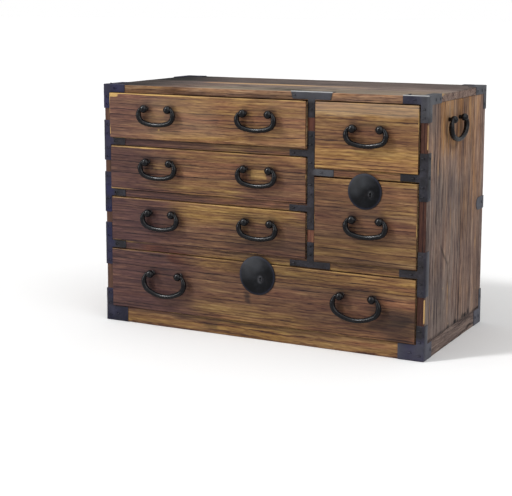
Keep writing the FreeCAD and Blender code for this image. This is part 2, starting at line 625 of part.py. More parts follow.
corners = []
for hand in (-1, 1):
    n = "corner_top_" + mark(hand)
    corners.append(fuse(n, front_strip(n, hand, (483.5, H + iron), [(53.5, (ceiling + 0.6, H + iron))]) + [
        block(n + "_side_leg", skin(hand), (Y0 - iron, Y0 + 75), (ceiling - 1, H + iron)),
        block(n + "_over_front", across(-iron, 53.5, hand), (Y0 - iron, Y0 + fold), TOP),
        block(n + "_over_side", across(-iron, fold, hand), (Y0 - iron, Y0 + 75), TOP),
    ]))
    n = "corner_foot_" + mark(hand)
    corners.append(fuse(n, front_strip(n, hand, (clear, 74), [(55, (clear, 34.2))]) + [
        block(n + "_side_leg", skin(hand), (Y0 - iron, Y0 + 45), (clear, 33.5)),
    ]))
node(group("corner_front_set", corners), "corner_irons_front")

BACK = (back_y, back_y + iron)
rears = []
for hand in (-1, 1):
    for n, z, leg_z, leg, deep in (("rear_top_", (485, H + iron), (ceiling, H + iron), 72, 17), ("rear_foot_", (clear, 78), (clear, 34.5), 47, 14)):
        n = n + mark(hand)
        parts = [
            block(n + "_side", skin(hand), (back_y - deep, back_y + iron), z),
            block(n + "_side_leg", skin(hand), (back_y - leg, back_y + iron), leg_z),
            block(n + "_back", across(-iron, 16, hand), BACK, z),
            block(n + "_back_leg", across(-iron, 50, hand), BACK, leg_z),
        ]
        if "top" in n:
            parts.append(block(n + "_over_back", across(-iron, 50, hand), (back_y - fold, back_y + iron), TOP))
            parts.append(block(n + "_over_side", across(-iron, fold, hand), (back_y - leg, back_y + iron), TOP))
        rears.append(fuse(n, parts))
    n = "rear_middle_" + mark(hand)
    tip = doc.addObject("Part::Cylinder", n + "_tip")
    tip.Placement = FreeCAD.Placement(FreeCAD.Vector(), FreeCAD.Rotation(FreeCAD.Vector(0, 1, 0), 90))
    place(tip, skin(hand)[0], back_y - 36, 277)
    bind(tip, "Radius", 14)
    bind(tip, "Height", iron)
    rears.append(fuse(n, [
        tip,
        block(n + "_side", skin(hand), (back_y - 36, back_y + iron), (263, 291)),
        block(n + "_back", across(-iron, 50, hand), BACK, (263, 291)),
    ]))
node(group("corner_back_set", rears), "corner_irons_back")

dl, dr = div_l + 0.2, div_r - 0.2
node(group("divider_set", [
    fuse("divider_top", [
        block("divider_top_bar", (div_l - 39, div_l + 55), FRONT, (521, H + iron)),
        block("divider_top_fold", (div_l - 39, div_l + 55), (Y0 - iron, Y0 + fold), TOP),
        block("divider_top_leg", (dl, dr), FRONT, (484, 522)),
    ]),
    fuse("divider_strip", [
        block("divider_strip_bar", (dl, dr), FRONT, (250, 456)),
        block("divider_strip_leg_a", (div_l - 41, dr), FRONT, (402.6, 416)),
        block("divider_strip_leg_b", (div_l - 41, dr), FRONT, (287.6, 300.5)),
        block("divider_strip_leg_c", (dl, div_l + 59), FRONT, (364.6, 378.4)),
    ]),
    fuse("divider_foot", [
        block("divider_foot_bar", (dl, dr), FRONT, (170, 224)),
        block("divider_foot_leg", (div_l - 39, div_l + 53), FRONT, (170, 183.5)),
    ]),
]), "divider_irons")

# --- nails that hold the ironwork: domed head, short shank -----------------------------------------------
head_r, head_rise, shank_r, shank_l = dim("nail_head"), dim("nail_rise"), dim("nail_shank"), dim("nail_long")
NAILS = []
for z in (447, 427, 395, 376, 331, 312, 281, 259, 216, 196, 160, 139, 493, 510, 12, 40, 64):
    NAILS.append(("front", -HALF + 8, Val.of(z)))
for z in (413, 392, 355, 336, 216, 196, 160, 142, 493, 510, 12, 40, 63):
    NAILS.append(("front", HALF - 8, Val.of(z)))
for z in (410.5, 295.5, 178, 528.5, 17):
    NAILS.append(("front", -HALF + 28, Val.of(z)))
    NAILS.append(("front", -HALF + 46, Val.of(z)))
for z in (372.5, 178, 528.5, 17):
    NAILS.append(("front", HALF - 28, Val.of(z)))
    NAILS.append(("front", HALF - 48, Val.of(z)))
for z in (501, 447, 428, 391, 345, 325, 268, 215, 197):
    NAILS.append(("front", div_l + 8, Val.of(z)))
for x, z in ((-30, 529), (44, 529), (-31, 409.3), (-14, 409.3), (-31, 294), (-14, 294), (32, 371.5), (50, 371.5), (-29, 177), (44, 177)):
    NAILS.append(("front", div_l + x, Val.of(z)))
for hand, word in ((-1, "left"), (1, "right")):
    for z in ((447, 377, 331, 260, 216, 140, 493, 64) if hand < 0 else (413, 372.5, 334, 216, 142, 493, 64)):
        NAILS.append((word, Y0 + 12, Val.of(z)))
    for y, z in ((12, 528), (40, 528), (66, 528), (12, 17), (36, 17), (310, 528), (340, 528), (363, 528), (364, 498), (334, 17), (356, 17), (365, 60), (334, 277), (358, 277)):
        NAILS.append((word, Y0 + y, Val.of(z)))
for x in (12, 42, 718, 748):
    NAILS.append(("top", -HALF + x, Y0 + 10))
for x in (-30, 8, 46):
    NAILS.append(("top", div_l + x, Y0 + 10))
pieces = []
for i, (way, a, b) in enumerate(NAILS):
    n = "nail_%d" % i
    head = doc.addObject("Part::Cylinder", n + "_head")
    pin = doc.addObject("Part::Cylinder", n + "_pin")
    if way == "front":
        where, dx, dy, dz, turn_by = (a, Y0 - iron, b), 0, 1, 0, ((1, 0, 0), 90)
    elif way == "top":
        where, dx, dy, dz, turn_by = (a, b, H + iron), 0, 0, -1, ((0, 0, 1), 0)
    elif way == "left":
        where, dx, dy, dz, turn_by = (-HALF - iron, a, b), 1, 0, 0, ((0, 1, 0), -90)
    else:
        where, dx, dy, dz, turn_by = (HALF + iron, a, b), -1, 0, 0, ((0, 1, 0), 90)
    rot = FreeCAD.Rotation(FreeCAD.Vector(*turn_by[0]), turn_by[1])
    head.Placement = FreeCAD.Placement(FreeCAD.Vector(), rot)
    pin.Placement = FreeCAD.Placement(FreeCAD.Vector(), rot)
    place(head, *where)
    place(pin, where[0] + shank_l * dx, where[1] + shank_l * dy, where[2] + shank_l * dz)
    bind(head, "Radius", head_r)
    bind(head, "Height", head_rise)
    bind(pin, "Radius", shank_r)
    bind(pin, "Height", shank_l + head_rise * 0.5)
    pieces.append(fuse(n, [head, pin]))
node(group("nail_set", pieces), "iron_nails")

# --- checks and export -------------------------------------------------------------------------------
doc.recompute()
bad = [o.Name for o in doc.Objects if "Invalid" in o.State or "Error" in o.State]
if bad:
    raise SystemExit("failed objects: %s" % ", ".join(bad))
for o in NODES:
    if o.Shape.isNull() or not o.Shape.isValid() or o.Shape.Volume <= 0:
        raise SystemExit("bad shape: " + o.Label)
names = [o.Label for o in NODES]
if len(set(names)) != len(names):
    raise SystemExit("two pieces share a label")

os.makedirs("parts", exist_ok=True)
low = [1e9] * 3
high = [-1e9] * 3
for o in NODES:
    o.Shape.exportStep(os.path.join("parts", o.Label + ".step"))
    box = o.Shape.BoundBox
    low = [min(a, b) for a, b in zip(low, (box.XMin, box.YMin, box.ZMin))]
    high = [max(a, b) for a, b in zip(high, (box.XMax, box.YMax, box.ZMax))]
    print("%-28s solids %3d volume %9.1f" % (o.Label, len(o.Shape.Solids), o.Shape.Volume))
print(len(NODES), "pieces; box", [round(v, 2) for v in low], [round(v, 2) for v in high])
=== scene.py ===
import math

import bmesh
import bpy
import numpy as np
from mathutils import Matrix, Vector
from mathutils.kdtree import KDTree


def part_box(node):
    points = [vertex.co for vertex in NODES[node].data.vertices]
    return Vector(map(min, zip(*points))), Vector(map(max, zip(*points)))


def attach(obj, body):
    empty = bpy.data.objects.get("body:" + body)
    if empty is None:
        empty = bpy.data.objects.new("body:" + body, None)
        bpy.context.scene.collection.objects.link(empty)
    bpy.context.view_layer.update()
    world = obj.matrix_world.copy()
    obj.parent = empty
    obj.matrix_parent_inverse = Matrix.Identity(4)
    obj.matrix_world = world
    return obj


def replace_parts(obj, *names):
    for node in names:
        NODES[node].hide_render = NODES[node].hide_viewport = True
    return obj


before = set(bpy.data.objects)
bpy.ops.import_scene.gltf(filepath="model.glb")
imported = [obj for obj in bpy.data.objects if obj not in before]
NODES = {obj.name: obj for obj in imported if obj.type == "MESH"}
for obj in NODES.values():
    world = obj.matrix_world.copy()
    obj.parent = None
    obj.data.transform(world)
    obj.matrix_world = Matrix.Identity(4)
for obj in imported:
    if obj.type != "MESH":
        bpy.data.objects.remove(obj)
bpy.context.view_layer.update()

MM = 0.001
Y0 = -0.17235          # the front edge of the carcass
HALF = 0.380           # half the carcass width


def px(x):
    """Across the front, from the left end in millimetres to the row frame in metres."""
    return (x - 380.0) * MM


def mm(*values):
    return tuple(v * MM for v in values)


# ---------------------------------------------------------------------------------------------------
# smooth noise for shapes, the same on every run
# ---------------------------------------------------------------------------------------------------
def _hash(i, j, k, seed):
    h = (i * 73856093) ^ (j * 19349663) ^ (k * 83492791) ^ (np.int64(seed) * 26544357)
    h = h & 0xFFFFFFFF
    h = ((h ^ (h >> 16)) * 73244475) & 0xFFFFFFFF
    h = ((h ^ (h >> 16)) * 73244475) & 0xFFFFFFFF
    h = (h ^ (h >> 16)) & 0xFFFFFFFF
    return h.astype(np.float64) / 4294967295.0


def noise3(p, seed=0):
    """Smooth noise from -1 to 1 at the rows of p."""
    p = np.atleast_2d(np.asarray(p, float))
    i = np.floor(p).astype(np.int64)
    f = p - i
    u = f * f * (3 - 2 * f)
    out = np.zeros(len(p))
    for a in (0, 1):
        wa = u[:, 0] if a else 1 - u[:, 0]
        for b in (0, 1):
            wb = u[:, 1] if b else 1 - u[:, 1]
            for c in (0, 1):
                wc = u[:, 2] if c else 1 - u[:, 2]
                out += wa * wb * wc * _hash(i[:, 0] + a, i[:, 1] + b, i[:, 2] + c, seed)
    return out * 2 - 1


def fbm(p, seed=0, octaves=3, gain=0.5):
    p = np.atleast_2d(np.asarray(p, float))
    out, amp, total = np.zeros(len(p)), 1.0, 0.0
    for o in range(octaves):
        out += amp * noise3(p * 2.0 ** o + 17.3 * o, seed + 31 * o)
        total += amp
        amp *= gain
    return out / total


def smooth(lo, hi, x):
    t = np.clip((x - lo) / (hi - lo), 0, 1)
    return t * t * (3 - 2 * t)


# ---------------------------------------------------------------------------------------------------
# shapes
# ---------------------------------------------------------------------------------------------------
class Shape:
    """Vertices, faces and per-vertex values of a piece while it is put together."""

    def __init__(self):
        self.v, self.f, self.n = [], [], 0
        self.grain, self.tone, self.m = [], [], []

    def add(self, verts, faces, grain=None, tone=None, material=0):
        verts = np.asarray(verts, float)
        self.v.append(verts)
        self.f.extend([tuple(int(i) + self.n for i in f) for f in faces])
        self.m.extend([material] * len(faces))
        self.grain.append(np.asarray(grain, float) if grain is not None else np.zeros((len(verts), 3)))
        tone = np.asarray(tone, float) if tone is not None else np.zeros((len(verts), 5))
        self.tone.append(np.hstack([tone, np.zeros((len(verts), 5 - tone.shape[1]))]))
        self.n += len(verts)

    def build(self, name, body, nodes=(), materials=(), sharp=None, wood=False):
        mesh = bpy.data.meshes.new(name)
        v = np.concatenate(self.v)
        mesh.from_pydata(v.tolist(), [], self.f)
        mesh.validate()
        mesh.update()
        if wood:
            at = mesh.attributes.new("grain", "FLOAT_VECTOR", "POINT")
            at.data.foreach_set("vector", np.concatenate(self.grain).astype(np.float32).ravel())
            at = mesh.attributes.new("tone", "FLOAT_COLOR", "POINT")
            tone = np.concatenate(self.tone)
            at.data.foreach_set("color", tone[:, :4].astype(np.float32).ravel())
            at = mesh.attributes.new("dim", "FLOAT", "POINT")
            at.data.foreach_set("value", tone[:, 4].astype(np.float32))
        mesh.polygons.foreach_set("use_smooth", [True] * len(mesh.polygons))
        for m in materials:
            mesh.materials.append(m)
        if len(materials) > 1:
            mesh.polygons.foreach_set("material_index", self.m)
        if sharp is not None:
            mesh.set_sharp_from_angle(angle=math.radians(sharp))
        mesh.update()
        obj = bpy.data.objects.new(name, mesh)
        bpy.context.scene.collection.objects.link(obj)
        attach(obj, body)
        if nodes:
            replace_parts(obj, *nodes)
        return obj


def ticks(lo, hi, step, r):
    """Grid lines along one side of a board: close together at its rounded edges."""
    edge = np.array([0.0, 0.22, 0.5, 0.78, 1.0, 1.4, 2.2]) * r
    room = hi - lo
    if room < 2 * edge[-1] + 1e-5:
        keep = edge[edge < room * 0.49]
        if keep[-1] < room * 0.3:
            keep = np.append(keep, room * 0.5 - 1e-5 * 0)
            return np.concatenate([lo + keep, (hi - keep[:-1])[::-1]])
        return np.concatenate([lo + keep, (hi - keep)[::-1]])
    n = max(1, int(round((room - 2 * edge[-1]) / step)))
    middle = np.linspace(lo + edge[-1], hi - edge[-1], n + 1)
    return np.concatenate([lo + edge[:-1], middle, (hi - edge[:-1])[::-1]])


def evaluated(obj):
    dg = bpy.context.evaluated_depsgraph_get()
    return bpy.data.meshes.new_from_object(obj.evaluated_get(dg))


def loose(name, v, f):
    mesh = bpy.data.meshes.new(name)
    mesh.from_pydata(np.asarray(v).tolist(), [], [tuple(int(i) for i in q) for q in f])
    mesh.update()
    o = bpy.data.objects.new(name, mesh)
    bpy.context.scene.collection.objects.link(o)
    return o


def box_shape(lo, hi):
    x0, y0, z0 = lo
    x1, y1, z1 = hi
    v = [(x0, y0, z0), (x1, y0, z0), (x1, y1, z0), (x0, y1, z0), (x0, y0, z1), (x1, y0, z1), (x1, y1, z1), (x0, y1, z1)]
    f = [(0, 3, 2, 1), (4, 5, 6, 7), (0, 1, 5, 4), (1, 2, 6, 5), (2, 3, 7, 6), (3, 0, 4, 7)]
    return v, f


def carve(v, faces, grain, tone, cuts):
    """A board with boxes taken out of it; its grain and colours run on over the cut faces."""
    board = loose("carved", v, faces)
    tools = []
    for lo, hi in cuts:
        tools.append(loose("carving", *box_shape(lo, hi)))
        m = board.modifiers.new("cut", "BOOLEAN")
        m.object, m.operation, m.solver = tools[-1], "DIFFERENCE", "EXACT"
    mesh = evaluated(board)
    for o in [board] + tools:
        bpy.data.objects.remove(o)
    q = np.array([w.co for w in mesh.vertices])
    f = [tuple(k.vertices) for k in mesh.polygons]
    bpy.data.meshes.remove(mesh)
    tree = KDTree(len(v))
    for i, c in enumerate(v):
        tree.insert(c, i)
    tree.balance()
    near = np.array([tree.find(c)[1] for c in q])
    way = np.linalg.lstsq(np.hstack([v, np.ones((len(v), 1))]), grain, rcond=None)[0][:3]
    return q, f, grain[near] + (q - v[near]) @ way, tone[near]


def plank(shape, lo, hi, r=0.0012, step=0.006, along="x", seed=1, worn=0.5, wave=0.00012, pith=(0.03, 0.08),
          tone_at=None, material=0, dent=None, coarse=1.0, cuts=()):
    """A sawn board with edges rounded by wear, from one corner to the other, added to the shape.
    along is the way its grain runs; pith says where the middle of the log lies beside the board, across it and under it."""
    lo, hi = np.minimum(lo, hi).astype(float), np.maximum(lo, hi).astype(float)
    size = hi - lo
    r = min(r, size.min() * 0.42)
    steps = step if hasattr(step, "__len__") else (step,) * 3
    T = [ticks(lo[a], hi[a], steps[a], r) for a in range(3)]
    nx, ny, nz = (len(t) for t in T)
    I, J, K = np.meshgrid(np.arange(nx), np.arange(ny), np.arange(nz), indexing="ij")
    shell = (I == 0) | (I == nx - 1) | (J == 0) | (J == ny - 1) | (K == 0) | (K == nz - 1)
    index = -np.ones((nx, ny, nz), int)
    index[shell] = np.arange(shell.sum())
    P = np.stack([T[0][I[shell]], T[1][J[shell]], T[2][K[shell]]], 1)
    faces = []

    def sheet(a, flip):
        a = a.astype(int)
        q = np.stack([a[:-1, :-1], a[1:, :-1], a[1:, 1:], a[:-1, 1:]], -1).reshape(-1, 4)
        faces.extend((q[:, ::-1] if flip else q).tolist())

    sheet(index[0, :, :], True)
    sheet(index[-1, :, :], False)
    sheet(index[:, 0, :], False)
    sheet(index[:, -1, :], True)
    sheet(index[:, :, 0], True)
    sheet(index[:, :, -1], False)

    # the edge radius changes along the edges, as wear leaves it
    wear = fbm(P * 22.0, seed + 5, 3)
    rr = r * np.clip(1.0 + worn * wear * 1.6, 0.35, 1.0 + worn * 1.3)
    rr = np.minimum(rr, size.min() * 0.45)[:, None]
    C = np.clip(P, lo + rr, hi - rr)
    D = P - C
    L = np.linalg.norm(D, axis=1, keepdims=True)
    N = D / np.maximum(L, 1e-9)
    Q = C + rr * N
    # broad, very shallow unevenness of a hand-planed board, never outwards past its size
    Q -= N * (wave * (0.5 + 0.5 * fbm(P * 9.0, seed + 9, 2)))[:, None]
    if dent is not None:
        Q -= N * dent(P)[:, None]
    # coarse widens the rings
    axis = {"x": 0, "y": 1, "z": 2}[along]
    others = [a for a in range(3) if a != axis]
    thick = min(others, key=lambda a: size[a])
    across = [a for a in others if a != thick][0]
    rng = np.random.RandomState(seed)
    shift = rng.uniform(-3, 3)
    mid = (lo + hi) / 2
    G = np.stack([
        (P[:, axis] + shift) / math.sqrt(coarse),
        (P[:, across] - mid[across] + pith[0]) / coarse,
        (P[:, thick] - mid[thick] + pith[1]) / coarse,
    ], 1)
    if tone_at is None:
        tone = np.zeros((len(P), 4))
    else:
        tone = tone_at(P)
    if cuts:
        Q, faces, G, tone = carve(Q, faces, G, tone, cuts)
    shape.add(Q, faces, G, tone, material)
    return Q


def lathe(profile, centre, axis, segments=48, seed=0, rough=0.0, out=None):
    """A turned shape: profile is (radius, along) pairs; axis is the direction that 'along' runs."""
    axis = np.array(axis, float) / np.linalg.norm(axis)
    ref = np.array([0, 0, 1.0]) if abs(axis[2]) < 0.9 else np.array([1.0, 0, 0])
    u = np.cross(ref, axis)
    u /= np.linalg.norm(u)
    w = np.cross(axis, u)
    verts, faces, rings = [], [], []
    for radius, along in profile:
        if radius < 1e-7:
            rings.append([len(verts)])
            verts.append(np.array(centre) + axis * along)
        else:
            ring = []
            for s in range(segments):
                a = 2 * math.pi * s / segments
                ring.append(len(verts))
                verts.append(np.array(centre) + axis * along + radius * (u * math.cos(a) + w * math.sin(a)))
            rings.append(ring)
    for a, b in zip(rings[:-1], rings[1:]):
        if len(a) == 1 and len(b) == 1:
            continue
        for s in range(segments):
            t = (s + 1) % segments
            if len(a) == 1:
                faces.append((a[0], b[t], b[s]))
            elif len(b) == 1:
                faces.append((a[s], a[t], b[0]))
            else:
                faces.append((a[s], a[t], b[t], b[s]))
    verts = np.array(verts)
    if rough:
        along = (verts - np.array(centre)) @ axis
        radial = verts - np.array(centre) - along[:, None] * axis
        verts = verts + rough * fbm(verts * 260.0, seed, 2)[:, None] * radial / max(1e-9, np.abs(radial).max())
    return verts, faces


def outwards(faces, verts):
    """Turns the faces of a closed, roughly convex part so that they look outwards."""
    c = verts.mean(0)
    total = 0.0
    for f in faces[:: max(1, len(faces) // 200)]:
        a, b, d = verts[f[0]], verts[f[1]], verts[f[2]]
        total += np.dot(np.cross(b - a, d - a), a - c)
    return faces if total > 0 else [tuple(reversed(f)) for f in faces]


def tube(points, radii, side, segments=18, seed=0, hammered=0.0):
    """A rod along points that lie in one plane; side is the direction square to that plane."""
    P = np.array(points)
    T = np.gradient(P, axis=0)
    T /= np.linalg.norm(T, axis=1, keepdims=True)
    S = np.array(side, float)
    Nn = np.cross(np.tile(S, (len(P), 1)), T)
    Nn /= np.linalg.norm(Nn, axis=1, keepdims=True)
    verts = []
    for k in range(len(P)):
        for s in range(segments):
            a = 2 * math.pi * s / segments
            verts.append(P[k] + radii[k] * (math.cos(a) * Nn[k] + math.sin(a) * S))
    verts = np.array(verts)
    if hammered:
        centre = np.repeat(P, segments, axis=0)
        d = verts - centre
        verts = centre + d * (1 - hammered * (0.5 + 0.5 * fbm(verts * 300.0, seed, 2)))[:, None]
    faces = []
    for k in range(len(P) - 1):
        for s in range(segments):
            t = (s + 1) % segments
            faces.append((k * segments + s, k * segments + t, (k + 1) * segments + t, (k + 1) * segments + s))
    # rounded ends
    n = len(verts)
    extra = []
    for end, way in ((0, -1), (len(P) - 1, 1)):
        base = end * segments
        previous = list(range(base, base + segments))
        for frac, reach in ((0.80, 0.5), (0.45, 0.82)):
            ring = []
            for s in range(segments):
                off = verts[base + s] - P[end]
                extra.append(P[end] + off * frac + T[end] * way * radii[end] * reach * 0.6)
                ring.append(n + len(extra) - 1)
            for s in range(segments):
                t = (s + 1) % segments
                q = (previous[s], previous[t], ring[t], ring[s])
                faces.append(q if way > 0 else tuple(reversed(q)))
            previous = ring
        extra.append(P[end] + T[end] * way * radii[end] * 0.6)
        tip = n + len(extra) - 1
        for s in range(segments):
            t = (s + 1) % segments
            q = (previous[s], previous[t], tip)
            faces.append(q if way > 0 else tuple(reversed(q)))
    return np.vstack([verts, np.array(extra)]), faces


# ---------------------------------------------------------------------------------------------------
# materials
# ---------------------------------------------------------------------------------------------------
def srgb(r, g, b):
    def lin(c):
        c = c / 255.0
        return c / 12.92 if c <= 0.04045 else ((c + 0.055) / 1.055) ** 2.4
    return (lin(r), lin(g), lin(b), 1.0)


class Tree:
    def __init__(self, name):
        self.mat = bpy.data.materials.new(name)
        self.mat.use_nodes = True
        self.nt = self.mat.node_tree
        self.nt.nodes.clear()
        self.out = self.node("ShaderNodeOutputMaterial")
        self.bsdf = self.node("ShaderNodeBsdfPrincipled")
        self.nt.links.new(self.bsdf.outputs[0], self.out.inputs[0])

    def node(self, kind, **props):
        n = self.nt.nodes.new(kind)
        for k, v in props.items():
            setattr(n, k, v)
        return n

    def put(self, socket, value):
        if isinstance(value, bpy.types.NodeSocket):
            self.nt.links.new(value, socket)
        else:
            socket.default_value = value

    def math(self, op, a, b=None, c=None, clamp=False):
        n = self.node("ShaderNodeMath", operation=op, use_clamp=clamp)
        self.put(n.inputs[0], a)
        if b is not None:
            self.put(n.inputs[1], b)
        if c is not None:
            self.put(n.inputs[2], c)
        return n.outputs[0]

    def vmath(self, op, a, b=None, scale=None):
        n = self.node("ShaderNodeVectorMath", operation=op)
        self.put(n.inputs[0], a)
        if b is not None:
            self.put(n.inputs[1], b)
        if scale is not None:
            self.put(n.inputs["Scale"], scale)
        return n.outputs[1] if op in ("LENGTH", "DISTANCE", "DOT_PRODUCT") else n.outputs[0]

    def sep(self, v):
        n = self.node("ShaderNodeSeparateXYZ")
        self.put(n.inputs[0], v)
        return n.outputs[0], n.outputs[1], n.outputs[2]

    def comb(self, x, y, z):
        n = self.node("ShaderNodeCombineXYZ")
        for i, v in enumerate((x, y, z)):
            self.put(n.inputs[i], v)
        return n.outputs[0]

    def noise(self, vec, scale=1.0, detail=2.0, rough=0.5, distortion=0.0, colour=False):
        n = self.node("ShaderNodeTexNoise")
        self.put(n.inputs["Vector"], vec)
        n.inputs["Scale"].default_value = scale
        n.inputs["Detail"].default_value = detail
        n.inputs["Roughness"].default_value = rough
        n.inputs["Distortion"].default_value = distortion
        return n.outputs[1] if colour else n.outputs[0]

    def ramp(self, fac, stops, interp="LINEAR"):
        n = self.node("ShaderNodeValToRGB")
        r = n.color_ramp
        r.interpolation = interp
        while len(r.elements) > 1:
            r.elements.remove(r.elements[-1])
        r.elements[0].position = stops[0][0]
        c = stops[0][1]
        r.elements[0].color = c if hasattr(c, "__len__") else (c, c, c, 1)
        for pos, c in stops[1:]:
            e = r.elements.new(pos)
            e.color = c if hasattr(c, "__len__") else (c, c, c, 1)
        self.put(n.inputs[0], fac)
        return n.outputs[0]

    def mix(self, fac, a, b, blend="MIX"):
        n = self.node("ShaderNodeMix", data_type="RGBA", blend_type=blend)
        self.put(n.inputs[0], fac)
        self.put(n.inputs[6], a)
        self.put(n.inputs[7], b)
        return n.outputs[2]

    def lerp(self, fac, a, b):
        n = self.node("ShaderNodeMix", data_type="FLOAT")
        self.put(n.inputs[0], fac)
        self.put(n.inputs[2], a)
        self.put(n.inputs[3], b)
        return n.outputs[0]

    def attribute(self, name):
        n = self.node("ShaderNodeAttribute", attribute_name=name)
        return n

    def bump(self, height, strength, distance, normal=None):
        n = self.node("ShaderNodeBump")
        n.inputs["Strength"].default_value = strength
        n.inputs["Distance"].default_value = distance
        self.put(n.inputs["Height"], height)
        if normal is not None:
            self.put(n.inputs["Normal"], normal)
        return n.outputs[0]

    def scaled(self, v, x, y, z):
        return self.vmath("MULTIPLY", v, (x, y, z))


def wood_grain(t, g, spacing, wander=0.004, ripple=1.1, contrast=1.0):
    """Straight-grained board: thin dark late-wood lines that fade in and out, streaks along the grain, pores and slow clouds.
    Returns the darkness from 0 to 1, the ring lines, the fibres, the clouds and the streaks."""
    slow = t.noise(t.scaled(g, 1.3, 7.0, 7.0), 1.0, 2.0, 0.5, colour=True)
    sx, sy, sz = t.sep(slow)
    x, y, z = t.sep(g)
    y2 = t.math("ADD", y, t.math("MULTIPLY", t.math("SUBTRACT", sx, 0.5), wander * 4))
    z2 = t.math("ADD", z, t.math("MULTIPLY", t.math("SUBTRACT", sy, 0.5), wander * 4))
    rho = t.math("SQRT", t.math("ADD", t.math("MULTIPLY", y2, y2), t.math("MULTIPLY", z2, z2)))
    wave = t.noise(t.scaled(g, 11.0, 24.0, 24.0), 1.0, 2.0, 0.5)
    jitter = t.noise(t.scaled(g, 55.0, 190.0, 190.0), 1.0, 2.0, 0.55)
    phase = t.math("ADD", t.math("MULTIPLY", rho, 1.0 / spacing), t.math("ADD", t.math("MULTIPLY", wave, ripple), t.math("MULTIPLY", jitter, 0.40)))
    ring = t.math("FLOOR", phase)
    part = t.math("FRACT", phase)
    w = t.node("ShaderNodeTexWhiteNoise", noise_dimensions="1D")
    t.put(w.inputs["W"], ring)
    value = w.outputs[0]
    line = t.ramp(part, [(0.0, 0.30), (0.08, 0.05), (0.62, 0.07), (0.82, 0.85), (0.91, 1.0), (1.0, 0.30)], "EASE")
    fade = t.ramp(t.noise(t.scaled(g, 10.0, 70.0, 70.0), 1.0, 2.0, 0.6), [(0.34, 0.15), (0.60, 1.0)])
    line = t.math("MULTIPLY", t.math("MULTIPLY", line, fade), t.math("ADD", 0.25, t.math("MULTIPLY", value, 1.0)))
    streak = t.noise(t.scaled(g, 8.0, 110.0, 110.0), 1.0, 3.0, 0.62)
    thread = t.noise(t.scaled(g, 20.0, 330.0, 330.0), 1.0, 2.0, 0.65)
    fibre = t.noise(t.scaled(g, 50.0, 1100.0, 1100.0), 1.0, 2.0, 0.6)
    pore = t.ramp(t.noise(t.scaled(g, 60.0, 560.0, 560.0), 1.0, 1.0, 0.5), [(0.60, 0.0), (0.70, 1.0)])
    cloud = t.noise(t.scaled(g, 5.0, 16.0, 16.0), 1.0, 3.0, 0.6)
    d = t.math("MULTIPLY", t.math("SUBTRACT", line, 0.20), 0.52 * contrast)
    for part_of, mean, amount in ((value, 0.5, 0.10), (streak, 0.5, 0.55), (thread, 0.5, 0.95), (fibre, 0.5, 0.50), (cloud, 0.5, 0.50), (pore, 0.1, 0.18)):
        d = t.math("ADD", d, t.math("MULTIPLY", t.math("SUBTRACT", part_of, mean), amount * contrast))
    return t.math("ADD", d, 0.5), line, fibre, cloud, streak


def tone_mixes(t, tone, g, cloud, loose_amount=1.2):
    """The four tones, with edges broken up along the grain; the first two together mean bare reddish wood."""
    tr, tg, tb = t.sep(tone.outputs["Vector"])
    ta = tone.outputs["Alpha"]
    patch = t.noise(t.scaled(g, 14.0, 110.0, 110.0), 1.0, 3.0, 0.65)
    loose = t.math("MULTIPLY", t.math("SUBTRACT", patch, 0.5), loose_amount * 2)
    fr = t.math("ADD", tr, t.math("MULTIPLY", loose, tr), clamp=True)
    fg = t.math("ADD", tg, t.math("MULTIPLY", t.math("MULTIPLY", loose, 0.5), tg), clamp=True)
    red = t.math("MULTIPLY", t.math("SUBTRACT", t.math("ADD", tr, tg), 1.3), 3.0, clamp=True)
    stain = t.math("MULTIPLY", ta, t.math("ADD", 0.45, t.math("MULTIPLY", cloud, 1.1)), clamp=True)
    chip = t.math("ADD", t.math("MULTIPLY", tb, 1.9), t.math("SUBTRACT", t.math("MULTIPLY", patch, 1.4), 1.35), clamp=True)
    return fr, fg, red, stain, t.math("MULTIPLY", chip, 1.6, clamp=True)


def shades(k, *stops):
    """The stops of a colour ramp, each sRGB colour made k times as light."""
    out = []
    for pos, c in zip((0.0, 0.25, 0.5, 0.75, 1.0), stops):
        lin = srgb(*c)
        out.append((pos, (lin[0] * k, lin[1] * k, lin[2] * k, 1.0)))
    return out


